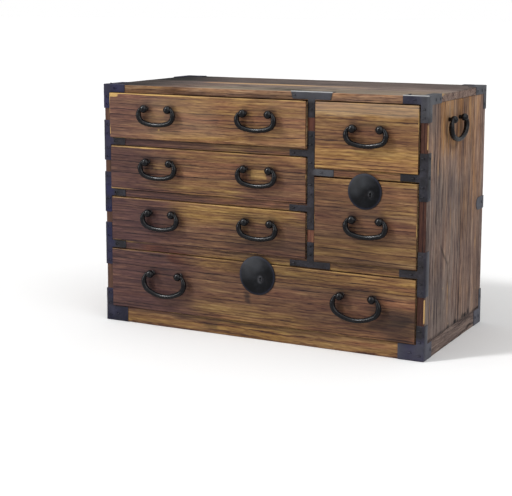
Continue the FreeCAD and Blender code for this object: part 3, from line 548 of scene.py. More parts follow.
def front_wood_material():
    t = Tree("front_wood")
    g = t.attribute("grain").outputs["Vector"]
    tone = t.attribute("tone")
    d, line, fibre, cloud, streak = wood_grain(t, g, 0.0054, contrast=1.09)
    fr, fg, red, stain, chip = tone_mixes(t, tone, g, cloud)
    k = 0.63
    plain = t.ramp(d, shades(k, (200, 158, 108), (164, 124, 84), (131, 94, 66), (100, 64, 48), (60, 36, 30)))
    gold = t.ramp(d, shades(k, (236, 198, 124), (204, 162, 92), (166, 124, 66), (122, 80, 46), (70, 42, 29)))
    dusk = t.ramp(d, shades(k, (146, 104, 92), (120, 82, 76), (97, 64, 64), (76, 50, 53), (46, 31, 36)))
    earth = t.ramp(d, shades(k, (204, 138, 98), (168, 104, 74), (134, 78, 58), (102, 56, 45), (60, 34, 30)))
    ruddy = t.ramp(d, shades(k * 0.85, (156, 96, 66), (132, 76, 54), (108, 58, 46), (84, 44, 38), (54, 30, 28)))
    # long narrow patches of redder and of more golden wood
    band = t.noise(t.scaled(g, 5.0, 62.0, 62.0), 1.0, 3.0, 0.62)
    glint = t.noise(t.scaled(g, 9.0, 130.0, 90.0), 1.0, 2.0, 0.6)
    fr = t.math("ADD", fr, t.math("MULTIPLY", t.math("SUBTRACT", glint, 0.52), 1.5), clamp=True)
    c = t.mix(fr, plain, gold)
    redder = t.math("ADD", t.math("MULTIPLY", t.math("SUBTRACT", band, 0.5), 3.2), 0.42, clamp=True)
    c = t.mix(t.math("MULTIPLY", redder, t.math("SUBTRACT", 0.70, t.math("MULTIPLY", fr, 0.42))), c, earth)
    c = t.mix(fg, c, dusk)
    c = t.mix(red, c, ruddy)
    shade = t.attribute("dim").outputs["Fac"]
    c = t.mix(t.math("MULTIPLY", shade, 1.0, clamp=True), c, srgb(14, 9, 8))
    c = t.mix(t.math("MULTIPLY", shade, -1.0, clamp=True), c, srgb(196, 174, 144))
    # the stain channel also carries painted shade: rings round the bails and the drawer edges that face the gap
    c = t.mix(stain, c, srgb(26, 20, 22))
    c = t.mix(chip, c, t.mix(fibre, srgb(206, 172, 108), srgb(158, 118, 66)))
    t.put(t.bsdf.inputs["Base Color"], c)
    rough = t.lerp(t.math("ADD", t.math("MULTIPLY", d, 0.4), t.math("MULTIPLY", chip, 0.5), clamp=True), 0.50, 0.68)
    t.put(t.bsdf.inputs["Roughness"], rough)
    t.bsdf.inputs["Specular IOR Level"].default_value = 0.25
    h = t.math("SUBTRACT", 1.0, t.math("ADD", t.math("MULTIPLY", line, 0.5), t.math("ADD", t.math("MULTIPLY", streak, 0.8), t.math("MULTIPLY", fibre, 0.5))))
    t.put(t.bsdf.inputs["Normal"], t.bump(h, 0.6, 0.0006))
    return t.mat


def side_wood_material():
    t = Tree("side_wood")
    g = t.attribute("grain").outputs["Vector"]
    tone = t.attribute("tone")
    d, line, fibre, cloud, streak = wood_grain(t, g, 0.0062, 0.005, 1.4, 1.22)
    fr, fg, red, stain, chip = tone_mixes(t, tone, g, cloud)
    k = 0.96
    plain = t.ramp(d, shades(k, (176, 150, 132), (146, 121, 108), (116, 94, 86), (84, 65, 61), (42, 32, 32)))
    warm = t.ramp(d, shades(k, (212, 166, 104), (180, 130, 76), (142, 96, 55), (100, 64, 41), (50, 32, 26)))
    grey = t.ramp(d, shades(k, (160, 148, 136), (132, 118, 110), (106, 92, 89), (80, 67, 66), (43, 36, 37)))
    ruddy = t.ramp(d, shades(k * 0.42, (146, 96, 72), (122, 76, 58), (98, 58, 48), (76, 44, 39), (48, 29, 28)))
    c = t.mix(fr, plain, warm)
    c = t.mix(fg, c, grey)
    c = t.mix(red, c, ruddy)
    shade = t.attribute("dim").outputs["Fac"]
    c = t.mix(t.math("MULTIPLY", shade, 1.0, clamp=True), c, srgb(14, 10, 9))
    c = t.mix(t.math("MULTIPLY", shade, -1.0, clamp=True), c, srgb(190, 176, 148))
    c = t.mix(stain, c, srgb(30, 24, 26))
    c = t.mix(chip, c, t.mix(fibre, srgb(210, 176, 118), srgb(162, 122, 74)))
    t.put(t.bsdf.inputs["Base Color"], c)
    t.put(t.bsdf.inputs["Roughness"], t.lerp(d, 0.62, 0.82))
    t.bsdf.inputs["Specular IOR Level"].default_value = 0.20
    h = t.math("SUBTRACT", 1.0, t.math("ADD", t.math("MULTIPLY", line, 0.6), t.math("ADD", t.math("MULTIPLY", streak, 0.9), t.math("MULTIPLY", fibre, 0.4))))
    t.put(t.bsdf.inputs["Normal"], t.bump(h, 0.8, 0.0008))
    return t.mat


def inner_wood_material(name, from_attribute=True):
    """Plain unvarnished softwood of the drawer boxes, shelves and back."""
    t = Tree(name)
    if from_attribute:
        g = t.attribute("grain").outputs["Vector"]
        ta = t.attribute("tone").outputs["Alpha"]
    else:
        tc = t.node("ShaderNodeTexCoord")
        g = tc.outputs["Object"]
        ta = None
    d, line, fibre, cloud, streak = wood_grain(t, g, 0.0052, 0.008, 1.2, 0.85)
    c = t.ramp(d, [(0.0, srgb(196, 168, 128)), (0.3, srgb(166, 137, 101)), (0.6, srgb(136, 108, 79)), (0.85, srgb(106, 82, 62)), (1.0, srgb(78, 59, 48))])
    if ta is not None:
        stain = t.math("MULTIPLY", ta, t.math("ADD", 0.55, t.math("MULTIPLY", cloud, 0.9)), clamp=True)
        c = t.mix(stain, c, srgb(76, 60, 50))
    t.put(t.bsdf.inputs["Base Color"], c)
    t.put(t.bsdf.inputs["Roughness"], t.lerp(d, 0.66, 0.8))
    t.bsdf.inputs["Specular IOR Level"].default_value = 0.3
    h = t.math("SUBTRACT", 1.0, t.math("ADD", t.math("MULTIPLY", line, 0.5), t.math("MULTIPLY", fibre, 0.5)))
    t.put(t.bsdf.inputs["Normal"], t.bump(h, 0.5, 0.0005))
    return t.mat


def iron_material(name, dark, mid, light, rough, bumpy, scale=1.0, rust=0.25, specular=0.5, metallic=0.0, shaded=False):
    """Blackened forged iron: uneven scale, worn lighter places and a few brown specks.
    A shaded one reads the tones laid on the sheets: paler, bluer, browner, and bare at the edges; bare above 0.62 is a
    painted white highlight, and on the lock plates the paler tone is painted light and shade."""
    t = Tree(name)
    tc = t.node("ShaderNodeTexCoord")
    p = tc.outputs["Object"]
    big = t.noise(p, 34.0 * scale, 3.0, 0.6)
    small = t.noise(p, 210.0 * scale, 4.0, 0.65)
    fine = t.noise(p, 900.0 * scale, 2.0, 0.5)
    k = t.math("ADD", t.math("MULTIPLY", big, 0.75), t.math("MULTIPLY", small, 0.55))
    k = t.math("SUBTRACT", k, 0.15)
    c = t.ramp(k, [(0.36, dark), (0.5, mid), (0.68, light)])
    speck = t.ramp(t.noise(p, 120.0 * scale, 5.0, 0.7), [(0.58, 0.0), (0.70, 1.0)])
    c = t.mix(t.math("MULTIPLY", speck, rust), c, srgb(92, 64, 48))
    r = t.math("ADD", rough - 0.12, t.math("MULTIPLY", small, 0.24))
    if shaded:
        tone = t.attribute("tone")
        pale, blue, brown = t.sep(tone.outputs["Vector"])
        bare = tone.outputs["Alpha"]
        c = t.mix(pale, c, t.mix(big, srgb(60, 63, 68), srgb(90, 92, 98)))
        c = t.mix(blue, c, t.mix(big, srgb(20, 22, 54), srgb(38, 39, 78)))
        c = t.mix(t.math("MULTIPLY", brown, t.math("ADD", 0.2, small), clamp=True), c, srgb(52, 38, 36))
        c = t.mix(t.math("MULTIPLY", bare, t.math("ADD", 0.25, small), clamp=True), c, srgb(120, 120, 126))
        # bare above 0.62 turns to a painted white highlight
        c = t.mix(t.math("MULTIPLY", t.math("SUBTRACT", bare, 0.62), 2.8, clamp=True), c, srgb(226, 226, 220))
    t.put(t.bsdf.inputs["Base Color"], c)
    t.bsdf.inputs["Metallic"].default_value = metallic
    t.bsdf.inputs["Specular IOR Level"].default_value = specular
    t.put(t.bsdf.inputs["Roughness"], t.math("ADD", r, t.math("MULTIPLY", speck, 0.15)))
    h = t.math("ADD", t.math("MULTIPLY", big, 0.6), t.math("ADD", t.math("MULTIPLY", small, 0.5), t.math("MULTIPLY", fine, 0.12)))
    t.put(t.bsdf.inputs["Normal"], t.bump(h, bumpy, 0.0012))
    return t.mat


FRONT_WOOD = front_wood_material()
SIDE_WOOD = side_wood_material()
INNER_WOOD = inner_wood_material("inner_wood_boards")
INNER_PLAIN = inner_wood_material("inner_wood_plain", False)
IRON_BAIL = iron_material("iron_bails", srgb(4, 4, 8), srgb(8, 8, 12), srgb(16, 17, 22), 0.24, 0.07, 1.0, 0.03, 0.36)
IRON_STRAP = iron_material("iron_straps", srgb(14, 14, 18), srgb(26, 26, 33), srgb(45, 45, 55), 0.50, 0.6, 1.0, 0.14, 0.24, 0.0, True)
IRON_PLATE = iron_material("iron_plates", srgb(5, 6, 9), srgb(9, 10, 14), srgb(18, 19, 24), 0.42, 0.25, 0.8, 0.03, 0.20, 0.0, True)
IRON_INSIDE = iron_material("iron_inside", srgb(30, 30, 35), srgb(44, 44, 50), srgb(66, 64, 68), 0.5, 0.4, 1.0, 0.20, 0.4, 0.3)


# ---------------------------------------------------------------------------------------------------
# where the wood is lighter, darker, worn or stained: strokes given in millimetres
# ---------------------------------------------------------------------------------------------------
def soft_box(x, z, x0, x1, z0, z1, fx, fz):
    """1 inside a box, falling off over fx and fz outside it."""
    dx = np.maximum(np.maximum(x0 - x, x - x1), 0) / max(fx, 1e-6)
    dz = np.maximum(np.maximum(z0 - z, z - z1), 0) / max(fz, 1e-6)
    d = np.sqrt(dx * dx + dz * dz)
    t = np.clip(1 - d, 0, 1)
    return t * t * (3 - 2 * t)


G, D, W, S, K, P = 0, 1, 2, 3, 4, 5    # golden, dusky, worn bare, stained, darkened all over, paler all over
FRONT_STROKES = [
    # kind, amount, x0, x1, z0, z1, soft across, soft up
    (D, 0.62, -20, 40, 402, 519, 190, 40),
    (D, 0.80, -20, 60, 290, 402, 190, 30),
    (D, 0.95, -20, 110, 180, 280, 150, 30),
    (D, 0.90, -20, 150, 40, 165, 170, 26),
    (D, 0.35, 230, 470, 190, 238, 90, 22),
    (D, 0.30, 330, 640, 60, 128, 120, 30),
    (D, 0.30, 380, 480, 300, 350, 60, 30),
    # how dark each board has grown
    (K, 0.10, 330, 500, 419, 519, 90, 1),
    (P, 0.08, 150, 500, 434, 512, 80, 7),
    (P, 0.13, 430, 500, 434, 512, 60, 7),
    (K, 0.20, 16, 500, 304, 402, 1, 1),
    (K, 0.20, 16, 500, 187, 287, 1, 1),
    (K, 0.32, 350, 500, 150, 262, 90, 20),
    (K, 0.24, 16, 746, 35, 169, 1, 1),
    (P, 0.05, 16, 60, 60, 169, 80, 10),
    (P, 0.07, 640, 746, 96, 160, 60, 20),
    (K, 0.12, 200, 600, 60, 130, 100, 30),
    (K, 0.22, 500, 746, 436, 480, 20, 18),
    (K, 0.22, 500, 746, 187, 364, 1, 1),
    (K, 0.18, 500, 630, 200, 340, 60, 30),
    (K, 0.26, 500, 746, 180, 236, 20, 26),
    (K, 0.32, 16, 500, 402, 419, 0.1, 0.1),
    (K, 0.26, 16, 500, 287, 304, 0.1, 0.1),
    (K, 0.22, 16, 746, 169, 187, 0.1, 0.1),
    (K, 0.22, 500, 746, 364, 381, 0.1, 0.1),
    # upper left drawer
    (G, 0.55, 215, 330, 486, 510, 90, 16),
    (G, 0.35, 340, 470, 430, 515, 60, 20),
    (G, 0.40, 190, 330, 420, 434, 60, 8),
    (W, 0.85, 17, 32, 511.4, 519, 14, 2.2),
    (W, 0.80, 18, 150, 517, 519, 90, 1.6),
    (W, 0.62, 145, 148, 440, 443, 2.5, 2.5),
    (G, 0.50, 126, 162, 462, 482, 12, 8),
    (W, 0.34, 130, 158, 464, 480, 8, 6),
    (W, 0.30, 372, 402, 462, 480, 10, 6),
    (W, 0.46, 110, 480, 515.5, 519, 40, 1.6),
    (W, 0.66, 17, 18.2, 430, 508, 1.2, 8),
    # middle left drawer
    (G, 0.45, 116, 160, 350, 377, 16, 10),
    (G, 0.95, 366, 410, 344, 372, 10, 8),
    (W, 0.42, 372, 406, 348, 368, 8, 6),
    (W, 0.34, 130, 160, 346, 364, 8, 6),
    (G, 0.40, 200, 470, 382, 400, 60, 8),
    (G, 0.45, 190, 330, 304, 332, 60, 14),
    (W, 0.55, 20, 110, 398.5, 402, 50, 2),
    (W, 0.45, 110, 478, 399, 402, 30, 1.5),
    (W, 0.46, 20, 70, 304, 306.5, 40, 2.0),
    # lower left drawer
    (G, 0.95, 205, 330, 246, 272, 50, 16),
    (G, 0.70, 330, 470, 262, 284, 40, 10),
    (G, 0.30, 220, 330, 200, 240, 60, 20),
    (W, 0.50, 20, 478, 284, 287, 30, 1.5),
    (W, 0.34, 22, 60, 187, 190, 40, 2),
    # long drawer
    (G, 0.80, 185, 345, 148, 166, 40, 8),
    (G, 0.70, 430, 745, 136, 166, 60, 14),
    (G, 0.35, 270, 460, 66, 84, 60, 8),
    (G, 0.80, 250, 470, 36, 62, 60, 14),
    (G, 0.35, 480, 640, 36, 56, 60, 12),
    (S, 0.60, 346, 354, 92, 103, 4, 4),
    (S, 0.58, 350, 357, 83, 94, 3, 5),
    (S, 0.48, 355, 359, 77, 85, 3, 5),
    (W, 0.40, 20, 745, 166, 169, 30, 1.5),
    (W, 0.24, 575, 640, 94, 98, 20, 3),
    (W, 0.30, 46, 52, 60, 66, 5, 4),
    (S, 0.60, 665, 742, 62, 96, 30, 16),
    (S, 0.50, 690, 716, 66, 88, 12, 8),
    (S, 0.45, 690, 735, 38, 54, 24, 8),
    # upper right drawer
    (G, 0.80, 515, 742, 386, 424, 20, 14),
    (G, 0.35, 515, 742, 488, 519, 30, 12),
    (P, 0.24, 515, 742, 494, 519, 30, 10),
    (G, 0.30, 515, 742, 430, 500, 60, 20),
    (W, 0.35, 515, 742, 515.5, 519, 30, 1.5),
    # lower right drawer
    (G, 0.55, 515, 742, 350, 362, 30, 6),
    (G, 0.55, 672, 742, 298, 316, 20, 8),
    (G, 0.55, 515, 742, 206, 236, 40, 12),
    (D, 0.22, 515, 700, 240, 300, 60, 20),
    (W, 0.35, 515, 742, 361, 364, 30, 1.5),
    # rails
    (G, 0.35, 230, 470, 414, 419, 60, 4),
    (G, 0.60, 96, 470, 170, 181, 60, 6),
    (G, 0.40, 560, 705, 170, 187, 40, 6),
    (D, 0.45, 60, 240, 402, 419, 90, 3),
    (D, 0.45, 60, 230, 287, 304, 90, 3),
    (W, 0.42, 60, 120, 184, 187, 40, 1.5),
    (P, 0.24, 399, 410, 288, 303, 9, 5),
    # front edge of the top board
    (G, 0.45, 40, 720, 519, 536, 40, 4),
    (K, 0.24, 40, 440, 519, 536, 60, 0.5),
    (K, 0.34, 40, 440, 519, 529, 60, 4),
    (K, 0.24, 40, 160, 519, 536, 60, 0.5),
    (K, 0.14, 40, 150, 529, 536, 60, 3),
    (P, 0.07, 300, 440, 522, 538, 60, 2),
    (P, 0.06, 20, 130, 522, 528, 40, 2),
    (G, 0.40, 30, 180, 519, 536, 60, 4),
    (K, 0.32, 440, 720, 519, 531, 60, 4),
    (W, 0.30, 120, 300, 521, 525, 40, 3),
    # base rail
    (K, 0.20, 40, 720, 0, 35, 1, 0.5),
    (G, 0.70, 56, 420, 0, 35, 80, 6),
    (G, 0.35, 420, 702, 0, 35, 60, 6),
    (W, 0.30, 582, 586, 20, 25, 12, 6),
    (W, 0.30, 608, 612, 8, 12, 10, 6),
    (W, 0.34, 642, 654, 25, 30, 14, 5),
    (W, 0.32, 672, 678, 12, 16, 12, 6),
    (W, 0.36, 694, 702, 22, 30, 12, 7),
    (W, 0.30, 300, 360, 18, 23, 20, 3),
    (S, 0.40, 268, 290, 12, 22, 8, 5),
    (S, 0.40, 200, 640, 26, 31, 60, 4),
]


def front_tone(at, seed=0, only=None, extra=()):
    x = at[:, 0] / MM + 380.0
    z = at[:, 2] / MM
    jig = np.stack([x * 0.012, z * 0.05, z * 0 + seed], 1)
    jx = 26 * fbm(jig, 77 + seed, 2)
    jz = 5.0 * fbm(jig * 1.7, 91 + seed, 2)
    out = np.zeros((len(at), 5))
    pale = np.zeros(len(at))
    for kind, amount, x0, x1, z0, z1, fx, fz in list(FRONT_STROKES) + list(extra):
        if only is not None and not (z0 < only[3] and z1 > only[2] and x0 < only[1] and x1 > only[0]):
            continue
        wob = 0.15 if kind == W else 0.0 if fx <= 1 else 1.0
        m = amount * soft_box(x + jx * wob, z + jz * wob, x0, x1, z0, z1, fx, fz)
        if kind == P:
            pale = np.maximum(pale, m)
        else:
            out[:, kind] = 1 - (1 - out[:, kind]) * (1 - m)
    out[:, K] -= pale
    return out


def edge_wear(P, lo, hi, width=0.0016, amount=0.55, seed=0, ends=True):
    """Paler wood along the edges of the face that looks at -Y."""
    d = np.minimum(hi[2] - P[:, 2], P[:, 2] - lo[2])
    if ends:
        d = np.minimum(d, np.minimum(hi[0] - P[:, 0], P[:, 0] - lo[0]))
    n = 0.5 + 0.5 * fbm(P * (30.0, 30.0, 30.0), 400 + seed, 3)
    front = P[:, 1] < lo[1] + width * 1.2
    return amount * np.clip(1 - d / width, 0, 1) * smooth(0.35, 0.75, n) * front


# ---------------------------------------------------------------------------------------------------
# carcass
# ---------------------------------------------------------------------------------------------------
def wood_piece(name, body, nodes, material, boards, sharp=None):
    s = Shape()
    for kw in boards:
        plank(s, **kw)
    return s.build(name, body, nodes, [material], wood=True, sharp=sharp)


def side_tone(hand):
    def tone(P):
        d = (P[:, 1] - Y0) / MM          # back from the front edge
        z = P[:, 2] / MM
        n1 = fbm(np.stack([d * 0.03, z * 0.006, d * 0 + hand], 1), 21, 3)
        n2 = fbm(np.stack([d * 0.012, z * 0.012, d * 0 + hand], 1), 45, 2)
        n3 = fbm(np.stack([d * 0.16, z * 0.010, d * 0 + hand], 1), 67, 3)
        out = np.zeros((len(P), 5))
        # warm round the carrying bail, and golden streaks that run down behind it
        warm = 0.90 * soft_box(d, z, 84, 215, 440, 519, 44, 60)
        warm = np.maximum(warm, 0.68 * soft_box(d, z, 205, 300, 300, 519, 40, 160))
        warm = np.maximum(warm, 0.44 * soft_box(d, z, 310, 345, 330, 519, 20, 160))
        warm = np.maximum(warm, 0.30 * soft_box(d, z, 30, 110, 190, 430, 40, 80))
        warm = np.maximum(warm, 0.20 * soft_box(d, z, 150, 330, 60, 260, 60, 60))
        out[:, 0] = np.clip(warm * (0.80 + 0.9 * n1 + 0.6 * n3), 0, 1)
        grey = 0.75 * soft_box(d, z, 8, 70, 90, 330, 40, 90) + 0.55 * soft_box(d, z, 90, 210, 60, 330, 60, 90)
        grey = grey + 0.38 * soft_box(d, z, 0, 46, 340, 519, 30, 60)
        grey = grey + 0.4 * soft_box(d, z, 0, 372, 35, 60, 10, 40) + 0.12 + 0.25 * soft_box(d, z, 0, 372, 60, 250, 10, 120)
        out[:, 1] = np.clip(grey * (0.7 + 0.6 * n2 - 0.6 * n3), 0, 0.8) * (1 - 0.85 * out[:, 0])
        # darker bands along the grain, and shade under the bail
        out[:, 4] = np.clip(0.13 + 0.34 * np.clip(-n3 - 0.02, 0, 1) + 0.14 * smooth(0.0, 0.5, n2), 0, 0.5)
        bail = np.abs(np.hypot((d - 158) / 46.0, (z - 462) / 42.0) - 1)
        out[:, 4] = np.maximum(out[:, 4], 0.42 * np.clip(1 - bail / 0.34, 0, 1) * (z < 500))
        out[:, 4] -= 0.30 * soft_box(d, z, 310, 372, 380, 519, 30, 60) + 0.07 * soft_box(d, z, 20, 372, 40, 200, 20, 60)
        for d0, d1, z0, z1, much in ((288, 297, 300, 519, 0.26), (84, 88, 330, 400, 0.16), (40, 44, 100, 300, 0.16), (118, 121, 60, 330, 0.14),
                                     (176, 180, 40, 300, 0.16), (236, 241, 60, 420, 0.16), (20, 23, 330, 500, 0.14)):
            line = soft_box(d + 4.0 * n1, z, d0, d1, z0, z1, 3, 90)
            out[:, 4] -= much * line * (0.7 + 0.8 * n3)
        # scuffs, a forked split, and grime in the joint at the foot
        fork = np.zeros(len(P))                  # only the right-hand panel is split
        for da, za, db, zb, w, much in ((94, 226, 140, 174, 5.0, 1.0), (154, 206, 142, 171, 3.4, 0.55), (139, 180, 136, 128, 7.0, 0.55), (66, 250, 72, 214, 4.0, 0.30)):
            k = np.clip((za - z) / (za - zb), 0, 1)
            bend = da + (db - da) * k ** 1.5 + 9.0 * n1 + 5.0 * n3
            off = np.abs(d - bend) / (w * np.clip(0.55 + 0.6 * k + 0.8 * n3, 0.25, 1.4))
            inside = smooth(-0.06, 0.10, (za - z) / (za - zb)) * (1 - smooth(0.86, 1.06, (za - z) / (za - zb)))
            fork = np.maximum(fork, much * inside * np.clip(1 - off, 0, 1) ** 0.8)
        fork = fork * (hand > 0)
        out[:, 3] = np.maximum(out[:, 3], 0.66 * fork)
        out[:, 4] = np.maximum(out[:, 4], 0.55 * fork)
        crack2 = np.abs((d - (150 - (176 - z) * 0.10)) + 2.0 * n1)
        run2 = smooth(96, 112, z) * (1 - smooth(160, 176, z))
        out[:, 3] = np.maximum(out[:, 3], 0.55 * run2 * np.clip(1 - crack2 / 3.0, 0, 1))
        foot = soft_box(d, z, 0, 372, 35, 37.0, 5, 4)
        out[:, 3] = np.maximum(out[:, 3], 0.85 * foot * (0.7 + 0.5 * n1))
        for cd, cz, wd, wz in ((196, 40, 9, 4), (245, 41, 5, 6), (262, 40, 9, 4.5), (284, 43, 4, 7), (150, 39, 6, 3)):
            chip = np.clip(1.5 - np.hypot((d - cd) / wd, (z - cz) / wz), 0, 1)
            out[:, 3] = np.maximum(out[:, 3], chip)
            out[:, 4] = np.maximum(out[:, 4], 0.85 * chip)
        # pale scuffs and specks
        for cd, cz, w in ((150, 47, 5), (120, 512, 4), (205, 517, 4), (228, 515, 3.5), (336, 86, 6), (192, 80, 4), (60, 300, 3),
                          (135, 505, 3), (92, 92, 3), (226, 96, 3.5), (110, 130, 2.5), (172, 30, 3)):
            out[:, 2] = np.maximum(out[:, 2], 0.9 * np.clip(1 - np.hypot(d - cd, (z - cz) * 1.6) / w, 0, 1))
        pale = np.clip(n3 - 0.16, 0, 1) * 3.0 * soft_box(d, z, 20, 330, 60, 500, 20, 20)
        out[:, 2] = np.maximum(out[:, 2], 0.40 * np.clip(pale, 0, 1))
        # the front edge itself is bare reddish wood; its outer corner is worn down to pale gold between some of the irons
        front = P[:, 1] < Y0 + 0.0012
        out[front] = np.array([0.9, 1.0, 0.0, 0.10, 0.15 if hand > 0 else -0.04])
        far = HALF - np.abs(P[:, 0])
        corner = smooth(0.0, 0.0016, 0.0024 - np.maximum(far, 0)) * (d < 3.5)
        for z0, z1, much in ((428, 480, 1.0), (78, 128, 0.9), (230, 322, 0.35)) if hand > 0 else ((460, 480, 0.2),):
            worn = much * corner * soft_box(d, z, -1, 4, z0 + 4, z1 - 2, 6, 5) * np.clip(0.85 + 0.8 * n1, 0, 1)
            out[:, 2] = np.maximum(out[:, 2], worn)
            out[:, 0] = np.where(front, out[:, 0], np.maximum(out[:, 0], 0.8 * much * soft_box(d, z, -1, 5, z0, z1, 7, 6)))
        return out
    return tone


def side_dent(hand):
    def dent(P):
        d = (P[:, 1] - Y0) / MM
        z = P[:, 2] / MM
        outer = (P[:, 0] * hand) > (HALF - 0.0005)
        n1 = fbm(np.stack([d * 0.03, z * 0.006, d * 0 + hand], 1), 21, 3)
        crack = np.abs((d - (92 + (232 - z) * 0.95)) + 3.0 * n1 * 3)
        run = smooth(168, 176, z) * (1 - smooth(226, 236, z))
        out = 0.0009 * run * np.clip(1 - crack / 3.4, 0, 1)
        lines = 0.00022 * (0.5 + 0.5 * fbm(np.stack([d * 0.12, z * 0.008, d * 0 + hand], 1), 300 + hand, 3))
        return np.where(outer, out + lines, 0)
    return dent


for hand, word in ((-1, "left"), (1, "right")):
    lo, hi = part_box("side_panel_" + word)
    wood_piece("panel_side_" + word, "carcass", ["side_panel_" + word], SIDE_WOOD, [
        dict(lo=lo, hi=hi, r=0.0013, step=(0.006, 0.0036, 0.0042), along="z", seed=11 + hand, worn=0.7, wave=0.00025,
             pith=(0.05 * hand, 0.16), tone_at=side_tone(hand), dent=side_dent(hand)),
    ])


def top_tone(P):
    x = P[:, 0] / MM + 380.0
    d = (P[:, 1] - Y0) / MM
    z = P[:, 2] / MM
    n1 = fbm(np.stack([x * 0.006, d * 0.03, x * 0], 1), 61, 3)
    n2 = fbm(np.stack([x * 0.02, d * 0.02, x * 0], 1), 63, 3)
    out = np.zeros((len(P), 5))
    top = z > 534.5
    front = P[:, 1] < Y0 + 0.0012
    g = 0.75 + 0.35 * n2
    out[:, 1] = np.where(top, np.clip(g, 0, 1), 0.15)
    out[:, 0] = np.where(top, np.clip(0.62 * soft_box(x, d, 200, 700, 8, 100, 120, 50) * (0.8 + n1), 0, 1), 0)
    # darker behind the joint and towards the left, paler in front of it
    streak = fbm(np.stack([x * 0.004, d * 0.09, x * 0], 1), 64, 3)
    away = 0.44 * smooth(170, 230, d) + 0.72 * (1 - smooth(60, 300, x + 0.3 * d)) + 0.06 * (1 - smooth(300, 460, x)) + 0.30 * np.clip(-streak, 0, 1)
    near = (1 - smooth(60, 170, d)) * smooth(60, 300, x)
    pale = 0.40 * near + 0.24 * np.clip(streak, 0, 1)
    seam = soft_box(x, d, 190, 530, 158, 186, 60, 8) * np.clip(0.75 + 0.9 * n1 + 0.5 * streak, 0, 1)
    out[:, 0] = np.where(top, np.maximum(out[:, 0], 0.95 * seam), out[:, 0])
    out[:, 1] = np.where(top, out[:, 1] * (1 - 0.9 * seam), out[:, 1])
    out[:, 4] = np.where(top, away - pale - 0.30 * seam, 0.16)
    # joint between the two planks, its front edge worn pale, and the bare front edge of the board
    joint = soft_box(x, d, 210, 530, 176, 187, 60, 5) * (0.75 + 0.7 * n1)
    out[:, 2] = np.maximum(out[:, 2], np.where(top, 0.66 * joint, 0))
    out[:, 3] = np.where(top, np.maximum(0.35 * smooth(0.25, 0.7, n2) + 0.34 * near, 0.6 * np.clip(1 - np.abs(d - 193) / 4.0, 0, 1)), 0)
    # paler along the first 7 mm behind the front edge: a painted highlight on the rounded edge
    out[:, 4] = np.where(top, out[:, 4] - 0.22 * np.clip(1 - d / 7.0, 0, 1) * (0.8 + 0.6 * n1) * smooth(120, 300, x), out[:, 4])
    chip = soft_box(x, d, 752, 764, 76, 100, 3, 9) * (z > 532.5) * np.clip(0.9 + n2, 0, 1)
    out[:, 2] = np.maximum(out[:, 2], 0.85 * chip)
    ft = front_tone(P, 5, (-20, 780, 519.5, 540))
    out[front] = ft[front]
    return out


lo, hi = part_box("top_plank_front")
wood_piece("plank_top_front", "carcass", ["top_plank_front"], SIDE_WOOD, [
    dict(lo=(lo.x, lo.y, lo.z), hi=(hi.x, Y0 + 0.1899, hi.z), r=0.0014, step=(0.006, 0.005, 0.006), along="x", seed=31, worn=0.8, wave=0.0004,
         pith=(0.05, 0.11), tone_at=top_tone),
])
lo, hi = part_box("top_plank_rear")
wood_piece("plank_top_rear", "carcass", ["top_plank_rear"], SIDE_WOOD, [
    dict(lo=(lo.x, Y0 + 0.1905, lo.z), hi=(hi.x, hi.y, hi.z), r=0.0014, step=(0.006, 0.005, 0.006), along="x", seed=37, worn=0.8, wave=0.0004,
         pith=(-0.03, 0.12), tone_at=top_tone),
])

# front rails and the base rail
lo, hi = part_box("base_rail_front")
wood_piece("rail_base_front", "carcass", ["base_rail_front"], FRONT_WOOD, [
    dict(lo=lo, hi=hi, r=0.0016, step=(0.005, 0.009, 0.004), along="x", seed=41, worn=0.9, wave=0.0003, pith=(0.02, 0.06), tone_at=lambda P: front_tone(P, 7)),
])
lo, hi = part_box("base_rails")
t18 = 0.018
wood_piece("rails_base", "carcass", ["base_rails"], SIDE_WOOD, [
    dict(lo=(-HALF, Y0 + t18, 0), hi=(-HALF + t18, hi.y, hi.z), r=0.0014, step=(0.009, 0.006, 0.005), along="y", seed=43, worn=0.9, wave=0.0003, pith=(0.02, 0.09), tone_at=lambda P: np.tile([0.0, 0.55, 0, 0.08, -0.03], (len(P), 1))),
    dict(lo=(HALF - t18, Y0 + t18, 0), hi=(HALF, hi.y, hi.z), r=0.0014, step=(0.009, 0.006, 0.005), along="y", seed=44, worn=0.9, wave=0.0003, pith=(-0.02, 0.09), tone_at=lambda P: np.tile([0.0, 0.55, 0, 0.08, -0.03], (len(P), 1))),
    dict(lo=(-HALF + t18, hi.y - t18, 0), hi=(HALF - t18, hi.y, hi.z), r=0.0014, step=(0.009, 0.006, 0.005), along="x", seed=45, worn=0.9, wave=0.0003, pith=(0.03, 0.09), tone_at=lambda P: np.tile([0.1, 0.4, 0, 0.15], (len(P), 1))),
])


def keeper(lock, low):
    """The mortise in the underside of a rail that a lock's bolt rises into."""
    a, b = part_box("lock_bolt_" + lock)
    play = 0.6 * MM
    return ((a.x - play, a.y - play, low - 0.001), (b.x + play, b.y + play, low + 0.0105))


def rail_board(x0, x1, z0, z1, seed, cuts=()):
    return dict(cuts=cuts, lo=mm(x0 - 380, -172.35, z0), hi=mm(x1 - 380, -154.35, z1), r=0.0009, step=(0.005, 0.009, 0.004), along="x", seed=seed, worn=0.7,
                wave=0.0002, pith=(0.015 + 0.01 * (seed % 3), 0.07), tone_at=lambda P: front_tone(P, seed))


wood_piece("rail_above_long", "carcass", ["rail_long"], FRONT_WOOD, [
    rail_board(15.5, 744.5, 169, 187, 51, [keeper("large", 0.169)])], sharp=50)
wood_piece("rails_between", "carcass", ["rails_short"], FRONT_WOOD, [
    rail_board(15.5, 500.5, 287, 304, 52), rail_board(15.5, 500.5, 402, 419, 53), rail_board(515.5, 744.5, 364, 381, 54, [keeper("small", 0.364)])], sharp=50)


